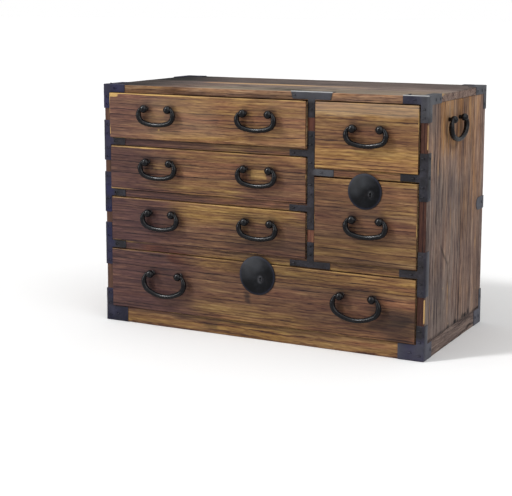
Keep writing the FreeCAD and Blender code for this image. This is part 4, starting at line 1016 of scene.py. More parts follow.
def upright_tone(P):
    """Bare reddish wood on the front edges of the uprights."""
    out = np.zeros((len(P), 5))
    front = P[:, 1] < Y0 + 0.002
    n = fbm(P * (60, 60, 25), 15, 2)
    z = P[:, 2] / MM
    low = (z > 218) & (z < 256)
    out[:, 1] = np.where(front, np.where(low, 0.8, 1.0), 0.3)
    out[:, 0] = np.where(front, np.where(low, 0.75, 0.9), 0.1)
    out[:, 2] = np.where(front & low, 0.30 * smooth(0.0, 0.6, n), 0)
    out[:, 3] = np.where(front, np.where(low, 0.0, 0.15), 0.0)
    return out


lo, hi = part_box("centre_divider")
wood_piece("divider", "carcass", ["centre_divider"], FRONT_WOOD, [
    dict(lo=lo, hi=hi, r=0.0009, step=(0.006, 0.008, 0.006), along="z", seed=61, worn=0.6, wave=0.0001, pith=(0.03, 0.09), tone_at=upright_tone),
])

# back planks, bottom and shelves
back = []
for i in range(3):
    z0 = 35 + 484 / 3 * i
    z1 = 35 + 484 / 3 * (i + 1) - (0.8 if i < 2 else 0)
    back.append(dict(lo=mm(-364, 189.65, z0), hi=mm(364, 199.65, z1), r=0.0012, step=(0.012, 0.006, 0.007), along="x", seed=71 + i, worn=0.6, wave=0.0004,
                     pith=(0.02 * (i - 1), 0.07), tone_at=lambda P: np.stack([0 * P[:, 0], 0.25 + 0 * P[:, 0], 0 * P[:, 0], np.clip(0.45 + 0.5 * fbm(P * (4, 9, 12), 88, 3), 0, 1)], 1)))
wood_piece("planks_back", "carcass", ["back_planks"], INNER_WOOD, back)
for n in ("bottom_board", "dust_shelves"):
    o = NODES[n]
    o.data.materials.clear()
    o.data.materials.append(INNER_PLAIN)

# ---------------------------------------------------------------------------------------------------
# drawers
# ---------------------------------------------------------------------------------------------------
DRAWERS = ["upper_left", "middle_left", "lower_left", "upper_right", "lower_right", "long"]
BAILS = {
    # name: (drawer, x from the left end, axis height, size)
    "bail_upper_left_left": ("upper_left", 144.5, 487.0, "small"),
    "bail_upper_left_right": ("upper_left", 387.5, 487.0, "small"),
    "bail_middle_left_left": ("middle_left", 145.5, 369.5, "small"),
    "bail_middle_left_right": ("middle_left", 387.8, 369.5, "small"),
    "bail_lower_left_left": ("lower_left", 150.0, 257.0, "small"),
    "bail_lower_left_right": ("lower_left", 390.5, 257.0, "small"),
    "bail_upper_right": ("upper_right", 634.8, 467.0, "small"),
    "bail_lower_right": ("lower_right", 636.5, 281.8, "small"),
    "bail_long_left": ("long", 160.6, 121.0, "long"),
    "bail_long_right": ("long", 618.0, 121.0, "long"),
}
LOCKS = {
    # drawer: (lock, x and height of its keyhole)
    "lower_right": ("small", 644.5, 334.5),
    "long": ("large", 396.5, 135.5),
}
SIZES = {
    # half the post spacing, turn, lean, arm, corner, drop, ball, standoff; the rod's radius at the mouth, at the shoulder and at the bottom
    "small": (30.0, 2.8, 30.0, 2.0, 18.3, 34.5, 9.0, 11.5, 3.5, 5.9, 5.0),
    "long": (35.5, 3.6, 30.0, 4.0, 23.0, 47.5, 9.0, 13.0, 3.5, 5.9, 5.0),
    "side": (33.0, 3.6, 30.0, 3.5, 21.0, 43.0, 7.9, 11.5, 3.5, 5.8, 5.1),
}

for d, name in enumerate(DRAWERS):
    lo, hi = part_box("drawer_%s_front" % name)
    lo, hi = np.array(lo), np.array(hi)
    hi[2] += (1.6, 0.9, 0.7, 0.6, 0.0, 0.6)[d] * MM      # the old boards fit a little closer at the top
    mine = [(x, z, SIZES[s]) for (dn, x, z, s) in BAILS.values() if dn == name]

    def tone(P, lo=lo, hi=hi, mine=mine, d=d):
        region = (lo[0] / MM + 380, hi[0] / MM + 380, lo[2] / MM, hi[2] / MM)
        out = front_tone(P, 10 + d, region)
        x = P[:, 0] / MM + 380.0
        z = P[:, 2] / MM
        n = fbm(np.stack([x * 0.05, z * 0.08, x * 0], 1), 5 + d, 2)
        for bx, bz, q in mine:
            half, drop = q[0], q[5]
            # painted contact shadow, with some handling grime, in a ring behind the swinging bow, and painted shadow
            # round the posts
            cx, cz, rx, rz = bx, bz - drop * 0.42, half + 14, drop * 0.66
            ring = np.abs(np.hypot((x - cx) / rx, (z - cz) / rz) - 1)
            out[:, 3] = np.maximum(out[:, 3], 0.42 * np.clip(1 - ring / 0.26, 0, 1) * (z < bz + 14) * (0.8 + 0.5 * n))
            for s in (-1, 1):
                r = np.hypot(x - bx - s * half, z - bz)
                out[:, 3] = np.maximum(out[:, 3], 0.5 * np.clip(1.6 - r / 11.0, 0, 1))
        out[:, 2] = np.maximum(out[:, 2], edge_wear(P, lo, hi, 0.0022, 0.62, d, d != 5))
        # painted shade on the edges that face the gap round the drawer front
        rim = (np.minimum(P[:, 0] - lo[0], hi[0] - P[:, 0]) < 0.0003) | (np.minimum(P[:, 2] - lo[2], hi[2] - P[:, 2]) < 0.0003)
        out[:, 3] = np.where(rim & (P[:, 1] > lo[1] + 0.002), 0.9, out[:, 3])
        return out

    key, seat = [], []
    if name in LOCKS:
        lock, kx, kz = LOCKS[name]
        (ca, cb), (ba, bb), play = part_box("lock_case_" + lock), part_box("lock_bolt_" + lock), 0.3 * MM
        key = [((px(kx) - 1.7 * MM, lo[1] - 0.001, (kz - 5) * MM), (px(kx) + 1.7 * MM, ca.y + 0.001, (kz + 5) * MM))]
        # the recess for the lock's case, and the way its bolt takes up through the top edge
        seat = key + [((ca.x, ca.y, ca.z), (cb.x, hi[1] + 0.001, cb.z)),
                      ((ba.x - play, ba.y - play, cb.z - 0.001), (bb.x + play, bb.y + play, hi[2] + 0.001))]
    def droop(P, hi=hi):
        return 0.8 * MM * smooth(110, 330, P[:, 0] / MM + 380.0) * (P[:, 2] > hi[2] - 0.0022)

    s = Shape()
    plate = 0.0062
    plank(s, lo, (hi[0], lo[1] + plate, hi[2]), cuts=key, dent=droop if d == 0 else None, r=0.0016, step=(0.0034, 0.004, 0.0034), along="x", seed=101 + d, worn=0.9, wave=0.0003,
          pith=((0.075, -0.085, 0.09, -0.17, 0.19, -0.12)[d], (0.055, 0.05, 0.06, 0.04, 0.05, 0.055)[d]), tone_at=tone, coarse=(1.0, 1.0, 1.0, 1.35, 1.35, 1.1)[d])
    plank(s, (lo[0] + 0.009, lo[1] + plate - 0.0004, lo[2]), (hi[0] - 0.009, hi[1], hi[2]), cuts=seat, dent=droop if d == 0 else None, r=0.0008, step=(0.012, 0.008, 0.012), along="x", seed=101 + d, worn=0.5,
          wave=0.0001, pith=((0.075, -0.085, 0.09, -0.17, 0.19, -0.12)[d], (0.055, 0.05, 0.06, 0.04, 0.05, 0.055)[d]),
          tone_at=lambda P: np.tile([0.15, 0.1, 0.0, 0.05], (len(P), 1)))
    # the lower 6 mm of the front reaches both ends, under the walls
    for x0, x1 in ((lo[0], lo[0] + 0.0094), (hi[0] - 0.0094, hi[0])):
        plank(s, (x0, lo[1] + plate - 0.0004, lo[2]), (x1, hi[1], lo[2] + 0.0059), r=0.0006, step=0.006, along="x", seed=101 + d, worn=0.4, wave=0.0,
              tone_at=lambda P: np.tile([0.15, 0.1, 0.0, 0.05], (len(P), 1)))
    s.build("front_" + name, "drawer_" + name, ["drawer_%s_front" % name], [FRONT_WOOD], sharp=50 if name in LOCKS else None, wood=True)

    # the box behind it
    blo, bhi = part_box("drawer_%s_box" % name)
    wall = 0.009
    s = Shape()
    kw = dict(r=0.0009, step=(0.012, 0.012, 0.012), worn=0.5, wave=0.00015)
    grime = lambda P: np.stack([0 * P[:, 0], 0 * P[:, 0], 0 * P[:, 0], np.clip(0.15 + 0.35 * fbm(P * (9, 9, 9), 130, 2), 0, 1)], 1)
    plank(s, (blo.x, blo.y, blo.z), (blo.x + wall, bhi.y, bhi.z), along="y", seed=141 + d, pith=(0.02, 0.06), tone_at=grime, **kw)
    plank(s, (bhi.x - wall, blo.y, blo.z), (bhi.x, bhi.y, bhi.z), along="y", seed=151 + d, pith=(-0.02, 0.06), tone_at=grime, **kw)
    plank(s, (blo.x + wall, bhi.y - wall, blo.z), (bhi.x - wall, bhi.y, bhi.z - 0.005), along="x", seed=161 + d, pith=(0.03, 0.06), tone_at=grime, **kw)
    s.build("box_" + name, "drawer_" + name, ["drawer_%s_box" % name], [INNER_WOOD], wood=True)
    plo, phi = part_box("drawer_%s_bottom" % name)
    s = Shape()
    plank(s, plo, phi, along="x", seed=171 + d, pith=(0.04, 0.05), tone_at=grime, **kw)
    s.build("bottom_" + name, "drawer_" + name, ["drawer_%s_bottom" % name], [INNER_WOOD], wood=True)


# ---------------------------------------------------------------------------------------------------
# bails and their posts
# ---------------------------------------------------------------------------------------------------
def bail_path(size):
    """The middle line of a bail in its own plane, and the rod's radius along it."""
    half, turn, lean, arm, corner, drop, ball, stand, r_mouth, r_shoulder, r_low = size
    f = math.radians(lean)
    start = half - 8.0
    out = half + max(ball, 9.0) - 1.4
    side_c = out + turn * math.cos(f) + arm * math.sin(f) - corner * math.cos(f)
    down_c = turn - turn * math.sin(f) + arm * math.cos(f) + corner * math.sin(f)
    tall = drop - down_c
    bow = (side_c * side_c + tall * tall - corner * corner) / (2 * (tall - corner))
    bend = math.atan2(-down_c - (bow - drop), side_c)
    pts = [(start + (out - start) * t, 0.0) for t in np.linspace(0, 1, 12)]
    pts += [(out + turn * math.cos(a), -turn + turn * math.sin(a)) for a in np.linspace(math.pi / 2, f, 9)[1:]]
    ex, ez = pts[-1]
    pts += [(ex + arm * t * math.sin(f), ez - arm * t * math.cos(f)) for t in np.linspace(0, 1, 4)[1:]]
    pts += [(side_c + corner * math.cos(a), -down_c + corner * math.sin(a)) for a in np.linspace(f, bend, 24)[1:]]
    pts += [(bow * math.cos(a), bow - drop + bow * math.sin(a)) for a in np.linspace(bend, -math.pi / 2, 16)[1:]]
    right = np.array(pts)
    seg = np.r_[0, np.cumsum(np.linalg.norm(np.diff(right, axis=0), axis=1))]
    mouth = out - start
    shoulder = mouth + turn + arm + corner * 0.55
    up = smooth(mouth - 0.5, shoulder, seg)
    down = smooth(shoulder, seg[-1], seg)
    r = r_mouth + (r_shoulder - r_mouth) * up - (r_shoulder - r_low) * down
    left = right[::-1][1:] * (-1, 1)
    return np.vstack([right, left]), np.r_[r, r[::-1][1:]]


def place_on(facing, along, out, z, x, y):
    if facing == "front":
        return (x + along, y - out, z)
    if facing == "right":
        return (x + out, y + along, z)
    return (x - out, y - along, z)


def make_bail(name, body, size, facing, x, y, z, seed):
    path, radii = bail_path(SIZES[size])
    stand = SIZES[size][7]
    pts = [place_on(facing, u * MM, stand * MM, z + w * MM, x, y) for u, w in path]
    side = {"front": (0, 1, 0), "right": (-1, 0, 0), "left": (1, 0, 0)}[facing]
    v, f = tube(pts, radii * MM, side, 20, seed, 0.035)
    s = Shape()
    s.add(v, outwards_tube(f, v, pts))
    return s.build(name + "_forged", body, [name], [IRON_BAIL])


def outwards_tube(faces, verts, pts):
    a, b, c = verts[faces[0][0]], verts[faces[0][1]], verts[faces[0][2]]
    n = np.cross(b - a, c - a)
    return faces if np.dot(n, a - np.array(pts[0])) > 0 else [tuple(reversed(f)) for f in faces]


def make_posts(name, body, items, nodes):
    """Ball heads bored for the bail, on short necks, collared on the drawer fronts; items are (size, facing, x, y, z,
    sign, depth, washer).
    """
    s = Shape()
    for k, (size, facing, x, y, z, sign, depth, washer) in enumerate(items):
        half, ball, stand = SIZES[size][0], SIZES[size][6], SIZES[size][7]
        c = np.array(place_on(facing, sign * half * MM, stand * MM, z, x, y))
        bore_axis = {"front": (1, 0, 0), "right": (0, 1, 0), "left": (0, -1, 0)}[facing]
        out_axis = {"front": (0, -1, 0), "right": (1, 0, 0), "left": (-1, 0, 0)}[facing]
        b = ball * MM
        bore = (SIZES[size][8] + 0.12) * MM
        a0 = math.asin(bore / b)
        prof = [(b * math.sin(a), -b * math.cos(a)) for a in np.linspace(a0, math.pi - a0, 22)]
        h = b * math.cos(a0)
        prof = prof + [(bore * 0.985, h * 0.93), (bore * 0.985, -h * 0.93), prof[0]]
        v, f = lathe(prof, c, bore_axis, 36)
        v = c + (v - c) * (1 - 0.02 * (0.5 + 0.5 * fbm(v * 240.0, 50 + k, 2)))[:, None]
        s.add(v, orient_closed(v, f))
        # neck and collar; and a clinched washer at the back of a drawer front
        base = np.array(place_on(facing, sign * half * MM, 0.0, z, x, y))
        collar = 5.6 * MM
        prof = [(0, 5.2 * MM), (3.1 * MM, 5.2 * MM), (3.2 * MM, 3.0 * MM), (4.0 * MM, 1.9 * MM), (collar * 0.93, 1.45 * MM), (collar, 0.9 * MM), (collar, -0.3 * MM), (0, -0.3 * MM)]
        if facing != "front":      # the sides' balls sit on plain thick necks
            prof = [(0, 5.2 * MM), (4.6 * MM, 5.2 * MM), (4.35 * MM, 4.2 * MM), (4.1 * MM, 2.6 * MM), (4.1 * MM, 0.7 * MM), (4.3 * MM, 0.2 * MM), (4.3 * MM, -0.3 * MM), (0, -0.3 * MM)]
        v, f = lathe(prof, base, out_axis, 28)
        s.add(v, orient_closed(v, f))
        if washer:
            back = base - np.array(out_axis) * depth
            prof = [(0, -2.6 * MM), (2.2 * MM, -2.5 * MM), (3.0 * MM, -2.0 * MM), (3.0 * MM, -1.6 * MM), (5.6 * MM, -1.5 * MM), (6.0 * MM, -1.1 * MM), (6.0 * MM, 0.2 * MM), (0, 0.2 * MM)]
            v, f = lathe(prof, back, out_axis, 24)
            s.add(v, orient_closed(v, f))
    return s.build(name, body, nodes, [IRON_BAIL], sharp=50)


def orient_closed(v, f):
    """Faces of a closed shape turned to look outwards, by its signed volume."""
    vol = 0.0
    for q in f:
        for i in range(1, len(q) - 1):
            vol += np.dot(v[q[0]], np.cross(v[q[i]], v[q[i + 1]]))
    return f if vol > 0 else [tuple(reversed(q)) for q in f]


for k, (name, (drawer, bx, bz, size)) in enumerate(BAILS.items()):
    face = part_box("drawer_%s_front" % drawer)[0].y
    make_bail(name, name, size, "front", px(bx), face, bz * MM, 200 + k)
for name in DRAWERS:
    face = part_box("drawer_%s_front" % name)[0].y
    items = [(size, "front", px(bx), face, bz * MM, sign, 0.018, True)
             for (dn, bx, bz, size) in BAILS.values() if dn == name for sign in (-1, 1)]
    make_posts("eyes_" + name, "drawer_" + name, items, ["posts_" + name])
side_y, side_z = Y0 + 0.158, 0.481
items = []
for facing, x in (("left", -HALF), ("right", HALF)):
    make_bail("bail_side_" + facing, "bail_side_" + facing, "side", facing, x, side_y, side_z, 230 + (x > 0))
    items += [("side", facing, x, side_y, side_z, sign, 0.012, False) for sign in (-1, 1)]
make_posts("eyes_sides", "carcass", items, ["posts_sides"])


# ---------------------------------------------------------------------------------------------------
# lock plates: shallow domes with a rim and a raised keyhole
# ---------------------------------------------------------------------------------------------------
def lock_plate(name, drawer, cx, cz, radius, kx, kz, seed):
    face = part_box("drawer_%s_front" % drawer)[0].y
    R, rise, rim = radius * MM, 5.0 * MM, 1.2 * MM
    ball = (R * R + rise * rise) / (2 * rise)
    prof = [(0.0, rim + rise)]
    for r in np.linspace(0, 1, 22)[1:]:
        rad = R * (1 - 0.012) * r
        prof.append((rad, rim + rise - (ball - math.sqrt(ball * ball - rad * rad))))
    prof += [(R * 0.996, rim + 0.00010), (R, rim - 0.0003), (R, 0.0), (R - 0.0012, -0.0002), (0.0, -0.0002)]
    c = np.array((px(cx), face, cz * MM))
    v, f = lathe(prof, c, (0, -1, 0), 96)
    out = c[1] - v[:, 1]
    far = np.hypot(v[:, 0] - c[0], v[:, 2] - c[2])
    # beaten by hand: shallow unevenness, and a rim that isn't a perfect circle
    n = fbm(np.stack([v[:, 0], v[:, 2], v[:, 0] * 0], 1) * 55.0, seed, 3)
    v[:, 1] += np.where(out > rim * 0.8, 0.00028 * n * smooth(0, 0.004, R - far), 0)
    ang = np.arctan2(v[:, 2] - c[2], v[:, 0] - c[0])
    wob = 1 - 0.006 * (0.5 + 0.5 * fbm(np.stack([np.cos(ang) * 2, np.sin(ang) * 2, ang * 0], 1), seed + 3, 2)) * smooth(0.7, 1.0, far / R)
    v[:, 0] = c[0] + (v[:, 0] - c[0]) * wob
    v[:, 2] = c[2] + (v[:, 2] - c[2]) * wob
    dome = loose(name, v, orient_closed(v, f))
    k = np.array((px(cx + kx), face - rim - rise + 2.2 * MM * 0.4, (cz + kz) * MM))
    prof = [(math.sin(a), math.cos(a)) for a in np.linspace(0, math.pi, 18)]
    bv, bf = lathe(prof, (0, 0, 0), (0, -1, 0), 36)
    bv = bv * (5.5 * MM, 2.2 * MM, 7.5 * MM) + k
    boss = loose(name + "_boss_tool", bv, orient_closed(bv, bf))
    w, h = 1.7 * MM, 5.0 * MM
    # a keyhole: round above, narrow below
    tv, tf = box_shape((k[0] - w * 0.8, face - 0.012, k[2] - h), (k[0] + w * 0.8, face + 0.004, k[2] + h * 0.4))
    slot = loose(name + "_slot_tool", tv, tf)
    rv, rf = lathe([(0, 0.012), (2.1 * MM, 0.012), (2.1 * MM, -0.004), (0, -0.004)], (k[0], face, k[2] + h * 0.45), (0, -1, 0), 24)
    hole = loose(name + "_hole_tool", rv, orient_closed(rv, rf))
    for tool, op in ((boss, "UNION"), (slot, "DIFFERENCE"), (hole, "DIFFERENCE")):
        m = dome.modifiers.new("cut", "BOOLEAN")
        m.object, m.operation, m.solver = tool, op, "EXACT"
    mesh = evaluated(dome)
    for o in (dome, boss, slot, hole):
        bpy.data.objects.remove(o)
    mesh.name = name
    co = np.array([q.co for q in mesh.vertices])
    u, w = (co[:, 0] - c[0]) / R, (co[:, 2] - c[2]) / R
    far = np.hypot(u, w)
    n = fbm(np.stack([u * 2.2, w * 2.2, u * 0], 1), seed + 9, 3)
    tone = np.zeros((len(co), 4))
    # painted light and shade: paler towards the top left, darker towards the bottom right; grey dust in the rim; bare
    # worn metal round the keyhole, turning to a painted glint at its strongest
    tone[:, 0] = np.clip(0.06 + 0.34 * w - 0.20 * u + 0.22 * n, 0, 1) * 0.85
    tone[:, 1] = 0.22 * np.clip(1 - np.abs(far - 0.93) / 0.06, 0, 1)
    tone[:, 3] = 0.60 * np.clip(1.25 - np.hypot((co[:, 0] - k[0]) / 0.0068, (co[:, 2] - k[2]) / 0.0088), 0, 1) * (0.6 + 0.8 * n)
    tone[:, 3] = np.maximum(tone[:, 3], 0.12 * np.clip(1 - np.abs(far - 0.96) / 0.05, 0, 1))
    at = mesh.attributes.new("tone", "FLOAT_COLOR", "POINT")
    at.data.foreach_set("color", np.clip(tone, 0, 1).astype(np.float32).ravel())
    mesh.materials.clear()
    mesh.materials.append(IRON_PLATE)
    mesh.polygons.foreach_set("use_smooth", [True] * len(mesh.polygons))
    mesh.set_sharp_from_angle(angle=math.radians(38))
    o = bpy.data.objects.new(name, mesh)
    bpy.context.scene.collection.objects.link(o)
    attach(o, "drawer_" + drawer)
    return o


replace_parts(lock_plate("plate_small", "lower_right", 630.5, 339.5, 37.2, 14.0, -5.0, 301), "lock_plate_small")
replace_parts(lock_plate("plate_large", "long", 386.5, 141.5, 42.5, 10.0, -6.0, 302), "lock_plate_large")
for n in ("lock_case_small", "lock_case_large", "lock_bolt_small", "lock_bolt_large"):
    NODES[n].data.materials.clear()
    NODES[n].data.materials.append(IRON_INSIDE)


# ---------------------------------------------------------------------------------------------------
# sheet-iron straps: the CAD sheets with softened edges, cut fine enough to be beaten a little uneven
# ---------------------------------------------------------------------------------------------------
def iron_tone(co, bare):
    """How pale, blue, brown and bare the sheet iron is: bluish on the left upright, paler on the T, worn pale at the
    feet; the bare passed in can also carry painted highlights.
    """
    x = co[:, 0] / MM + 380.0
    z = co[:, 2] / MM
    n = fbm(co * (14.0, 14.0, 14.0), 500, 3)
    m = fbm(co * (40.0, 40.0, 40.0), 520, 2)
    out = np.zeros((len(co), 4))
    pale = 0.62 * soft_box(x, z, 440, 570, 520, 540, 8, 3)
    pale = np.maximum(pale, 0.80 * soft_box(x, z, 515, 560, 362, 383, 8, 3) * (x > 517))
    pale = np.maximum(pale, 0.68 * soft_box(x, z, 690, 762, -2, 36, 20, 10))
    pale = np.maximum(pale, 0.06 * soft_box(x, z, -3, 60, 516, 540, 8, 8))
    pale = np.maximum(pale, 0.50 * soft_box(x, z, 738, 760.2, 496, 540, 14, 12))
    pale = np.maximum(pale, 0.42 * soft_box(x, z, 742, 760.2, 440, 500, 6, 10))
    pale = np.maximum(pale, 1.00 * soft_box(x, z, 760.6, 764, 496, 540, 0.4, 8) * (1 - smooth(Y0 + 0.030, Y0 + 0.060, co[:, 1])))
    pale = np.maximum(pale, 0.09 + 0.72 * (x > 760.6) * smooth(Y0 + 0.001, Y0 + 0.013, co[:, 1]))      # the right-hand flanges are paler grey
    out[:, 0] = np.clip(pale * (0.9 + 0.9 * n), 0, 1)
    face = (co[:, 1] < Y0 + 0.0002) & (np.abs(co[:, 0]) < HALF + 0.0006)
    blue = np.where(face, 0.92, 0.30) * soft_box(x, z, -3, 18, 60, 520, 8, 30)
    blue = np.maximum(blue, 0.95 * soft_box(x, z, -3, 60, 480, 540, 10, 20))
    blue = np.maximum(blue, 0.60 * soft_box(x, z, 690, 762, -2, 40, 10, 10))
    blue = np.maximum(blue, 0.30 * soft_box(x, z, -3, 60, -2, 40, 10, 10))
    blue = np.maximum(blue, 0.22 * soft_box(x, z, 760.6, 764, -2, 330, 0.4, 20))
    blue = np.maximum(blue, 0.35 * soft_box(x, z, 700, 740, 480, 540, 10, 10))
    out[:, 1] = np.clip(blue * (0.8 + 0.6 * m), 0, 1)
    out[:, 2] = np.clip(0.35 + 0.7 * n, 0, 1) * 0.5
    out[:, 3] = np.maximum(bare, 0.50 * (x > 760.6) * (0.7 + 0.6 * m) * smooth(Y0 + 0.001, Y0 + 0.013, co[:, 1]) * np.maximum(soft_box(z, z, -5, 330, -5, 330, 0.1, 20), 0.85 * soft_box(z, z, 500, 540, 500, 540, 0.1, 20)))
    return out


def forged_sheets(name, node, seed, step=0.007):
    src = NODES[node]
    bm = bmesh.new()
    bm.from_mesh(src.data)
    bmesh.ops.remove_doubles(bm, verts=bm.verts, dist=0.00002)
    bmesh.ops.dissolve_limit(bm, angle_limit=math.radians(1.0), verts=bm.verts, edges=bm.edges, delimit=set())
    edges = [e for e in bm.edges if len(e.link_faces) == 2 and e.calc_face_angle(0) > math.radians(30)]
    bmesh.ops.bevel(bm, geom=edges, offset=0.00034, segments=2, profile=0.6, affect="EDGES", clamp_overlap=True)
    co = np.array([v.co for v in bm.verts])
    lo, hi = co.min(0), co.max(0)
    for axis in range(3):
        a = lo[axis] + step
        normal = [0, 0, 0]
        normal[axis] = 1
        used = np.sort(co[:, axis])
        while a < hi[axis] - 1e-4:
            i = np.searchsorted(used, a)
            near = min(abs(used[max(0, i - 1)] - a), abs(used[min(len(used) - 1, i)] - a))
            if near > 0.0006:
                point = [0, 0, 0]
                point[axis] = a
                bmesh.ops.bisect_plane(bm, geom=bm.verts[:] + bm.edges[:] + bm.faces[:], dist=1e-6, plane_co=point, plane_no=normal)
            a += step
    for z in (0.5341, 0.5329) if name in ("irons_divider", "irons_corners_front") else ():
        bmesh.ops.bisect_plane(bm, geom=bm.verts[:] + bm.edges[:] + bm.faces[:], dist=1e-6, plane_co=(0, 0, z), plane_no=(0, 0, 1))
    bm.normal_update()
    co = np.array([v.co for v in bm.verts])
    no = np.array([v.normal for v in bm.verts])
    jig = np.stack([fbm(co * 70.0, seed, 2), fbm(co * 70.0, seed + 1, 2), fbm(co * 70.0, seed + 2, 2)], 1)
    soft = 0.00022 * jig
    co = co + soft - no * 0.0001 * (0.5 + 0.5 * fbm(co * 140.0, seed + 5, 2))[:, None]
    # the T at the top of the divider: its arms are cut slanting, narrower below
    xs, zs = co[:, 0] / MM + 380.0, co[:, 2] / MM
    tee = (zs > 519.2) & (xs > 440) & (xs < 580) & (co[:, 1] < Y0 + 0.0005) & (co[:, 2] < 0.5362)
    if tee.any() and name == "irons_divider":
        x0, x1 = xs[tee].min(), xs[tee].max()
        inward = 5.0 * np.clip(1 - (zs - 519.2) / 16.8, 0, 1)
        near = np.clip(1 - np.minimum(xs - x0, x1 - xs) / 16.0, 0, 1)
        co[:, 0] += np.where(tee, np.where(xs < (x0 + x1) / 2, 1, -1) * inward * near * MM, 0)
    for v, c in zip(bm.verts, co):
        v.co = c
    # bare metal along the worn edges
    flat = np.abs(no).max(1)
    bare = 0.5 * np.clip((0.985 - flat) / 0.1, 0, 1) * smooth(-0.25, 0.5, fbm(co * 45.0, seed + 8, 2))
    # a painted white highlight along the top front edge of the T and of the front corner irons
    if name in ("irons_divider", "irons_corners_front"):
        ledge_highlight = (co[:, 2] > 0.5343) & (co[:, 1] < Y0 + 0.0012) & (co[:, 0] > -0.01)
        bare = np.where(ledge_highlight, 0.90, bare)
    mesh = bpy.data.meshes.new(name)
    bm.to_mesh(mesh)
    bm.free()
    at = mesh.attributes.new("tone", "FLOAT_COLOR", "POINT")
    at.data.foreach_set("color", iron_tone(co, bare).astype(np.float32).ravel())
    mesh.materials.append(IRON_STRAP)
    mesh.polygons.foreach_set("use_smooth", [True] * len(mesh.polygons))
    mesh.set_sharp_from_angle(angle=math.radians(28))
    o = bpy.data.objects.new(name, mesh)
    bpy.context.scene.collection.objects.link(o)
    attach(o, "carcass")
    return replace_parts(o, node)


forged_sheets("irons_stiles", "stile_irons", 401)
forged_sheets("irons_corners_front", "corner_irons_front", 411)
forged_sheets("irons_corners_back", "corner_irons_back", 421)
forged_sheets("irons_divider", "divider_irons", 431)


def separate_parts(mesh):
    """Vertex numbers of each loose part of a mesh."""
    parent = list(range(len(mesh.vertices)))

    def find(i):
        while parent[i] != i:
            parent[i] = parent[parent[i]]
            i = parent[i]
        return i

    for e in mesh.edges:
        a, b = find(e.vertices[0]), find(e.vertices[1])
        if a != b:
            parent[a] = b
    groups = {}
    for i in range(len(parent)):
        groups.setdefault(find(i), []).append(i)
    return list(groups.values())


def nail_heads():
    """Hand-made nails: low uneven domes where the CAD has its plain heads, with the same shanks."""
    src = NODES["iron_nails"].data
    co = np.array([v.co for v in src.vertices])
    s = Shape()
    seen = set()
    for k, part in enumerate(separate_parts(src)):
        lo, hi = co[part].min(0), co[part].max(0)
        mid = (lo + hi) / 2
        axis = int(np.argmax(hi - lo))
        way = np.zeros(3)
        way[axis] = 1.0 if mid[axis] > (0.4 if axis == 2 else 0.0) else -1.0
        outer = hi[axis] if way[axis] > 0 else lo[axis]
        key = (axis, way[axis], round(float(mid[(axis + 1) % 3]), 4), round(float(mid[(axis + 2) % 3]), 4))
        if key in seen:
            continue
        seen.add(key)
        c = mid.copy()
        c[axis] = outer - way[axis] * 0.9 * MM
        r = 2.3 * MM * (0.88 + 0.12 * float(_hash(np.int64(k), np.int64(3), np.int64(5), 7)))
        rise = 0.45 * MM
        prof = [(r * math.sin(a), rise * math.cos(a)) for a in np.linspace(0, math.pi / 2, 6)]
        prof += [(0.9 * MM, 0.0), (0.9 * MM, -5.4 * MM), (0.0, -6.0 * MM)]
        v, f = lathe(prof, c, way, 14)
        v = v + 0.00012 * (fbm(v * 500.0, 71 + k, 2) - 1.0)[:, None] * np.linalg.norm((v - c) * (1 - np.abs(way)), axis=1, keepdims=True) / r * (v - c) / np.maximum(np.linalg.norm(v - c, axis=1, keepdims=True), 1e-9)
        tone = iron_tone(v, 0.02 + 0.12 * _hash(np.int64(k), np.int64(1), np.int64(9), 3) * np.ones(len(v)))
        s.add(v, orient_closed(v, f), None, tone)
    return s.build("nails_domed", "carcass", ["iron_nails"], [IRON_STRAP], sharp=40, wood=True)


nail_heads()


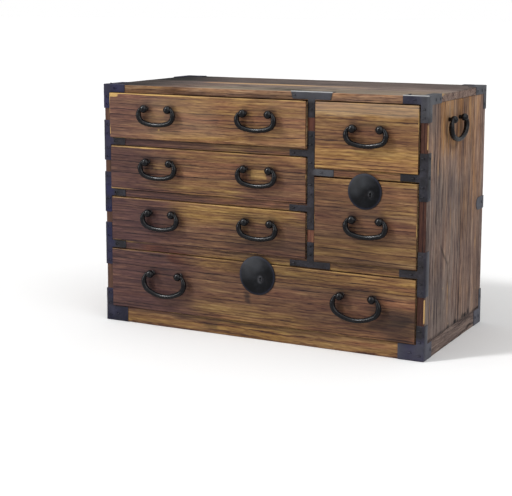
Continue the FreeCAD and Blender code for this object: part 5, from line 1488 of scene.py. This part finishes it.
# ---------------------------------------------------------------------------------------------------
# floor, light, camera
# ---------------------------------------------------------------------------------------------------
def stage_and_light():
    mesh = bpy.data.meshes.new("floor")
    a = 40.0
    n = 12
    vs = [(-a + 2 * a * i / n, -a + 2 * a * j / n, 0.0) for j in range(n + 1) for i in range(n + 1)]
    fs = [(j * (n + 1) + i, j * (n + 1) + i + 1, (j + 1) * (n + 1) + i + 1, (j + 1) * (n + 1) + i) for j in range(n) for i in range(n)]
    mesh.from_pydata(vs, [], fs)
    floor = bpy.data.objects.new("floor", mesh)
    bpy.context.scene.collection.objects.link(floor)
    t = Tree("pale_floor")
    t.bsdf.inputs["Base Color"].default_value = (0.90, 0.90, 0.90, 1)
    t.bsdf.inputs["Roughness"].default_value = 0.95
    t.bsdf.inputs["Specular IOR Level"].default_value = 0.0
    mesh.materials.append(t.mat)
    floor.visible_glossy = False

    # a white room to look at, and a dimmer even light from it
    world = bpy.data.worlds.new("studio")
    bpy.context.scene.world = world
    world.use_nodes = True
    nt = world.node_tree
    nt.nodes.clear()
    seen = nt.nodes.new("ShaderNodeBackground")
    seen.inputs[0].default_value = (1.0, 1.0, 1.0, 1)
    seen.inputs[1].default_value = 1.0
    lit = nt.nodes.new("ShaderNodeBackground")
    lit.inputs[0].default_value = (1.0, 1.0, 1.0, 1)
    lit.inputs[1].default_value = 0.40
    path = nt.nodes.new("ShaderNodeLightPath")
    mix = nt.nodes.new("ShaderNodeMixShader")
    out = nt.nodes.new("ShaderNodeOutputWorld")
    nt.links.new(path.outputs["Is Camera Ray"], mix.inputs[0])
    nt.links.new(lit.outputs[0], mix.inputs[1])
    nt.links.new(seen.outputs[0], mix.inputs[2])
    nt.links.new(mix.outputs[0], out.inputs[0])

    def sun(name, toward, power, spread):
        """A soft light from one side, the same strength everywhere on the floor."""
        data = bpy.data.lights.new(name, "SUN")
        data.energy = power
        data.angle = math.radians(spread)
        o = bpy.data.objects.new(name, data)
        o.location = Vector(toward) * 2
        o.rotation_euler = Vector(toward).to_track_quat("Z", "Y").to_euler()
        bpy.context.scene.collection.objects.link(o)

    sun("key", (-0.55, -0.78, 0.95), 0.14, 26)
    sun("lamp", (-0.66, -0.70, 0.88), 1.40, 8)
    sun("strip", (-0.68, -0.72, 0.42), 0.30, 9)
    sun("window", (-0.62, -0.76, 0.10), 0.34, 12)
    sun("over", (0.1, -0.1, 1.0), 0.95, 80)
    sun("side", (0.9, -0.45, 0.55), 0.75, 60)


def camera():
    f, yaw, pitch, roll = 1267.4, math.radians(27.34), math.radians(8.50), math.radians(0.097)
    cy = 190.0
    data = bpy.data.cameras.new("camera")
    data.sensor_width = 36.0
    data.sensor_fit = "HORIZONTAL"
    data.lens = f / 512.0 * 36.0
    data.shift_y = (cy - 248.0) / 512.0
    data.clip_start = 0.05
    data.clip_end = 60
    c, s, cp, sp, cr, sr = math.cos(yaw), math.sin(yaw), math.cos(pitch), math.sin(pitch), math.cos(roll), math.sin(roll)
    R, F, U = Vector((c, s, 0)), Vector((-s * cp, c * cp, -sp)), Vector((-s * sp, c * sp, cp))
    Rb, Ub = cr * R + sr * U, -sr * R + cr * U
    m = Matrix((Rb, Ub, -F)).transposed().to_4x4()
    m.translation = Vector((1596.9 - 380.0, -2353.2 - 172.35, 720.6)) * MM
    o = bpy.data.objects.new("camera", data)
    o.matrix_world = m
    bpy.context.scene.collection.objects.link(o)
    bpy.context.scene.camera = o


stage_and_light()
camera()
bpy.context.scene.view_settings.view_transform = "Standard"
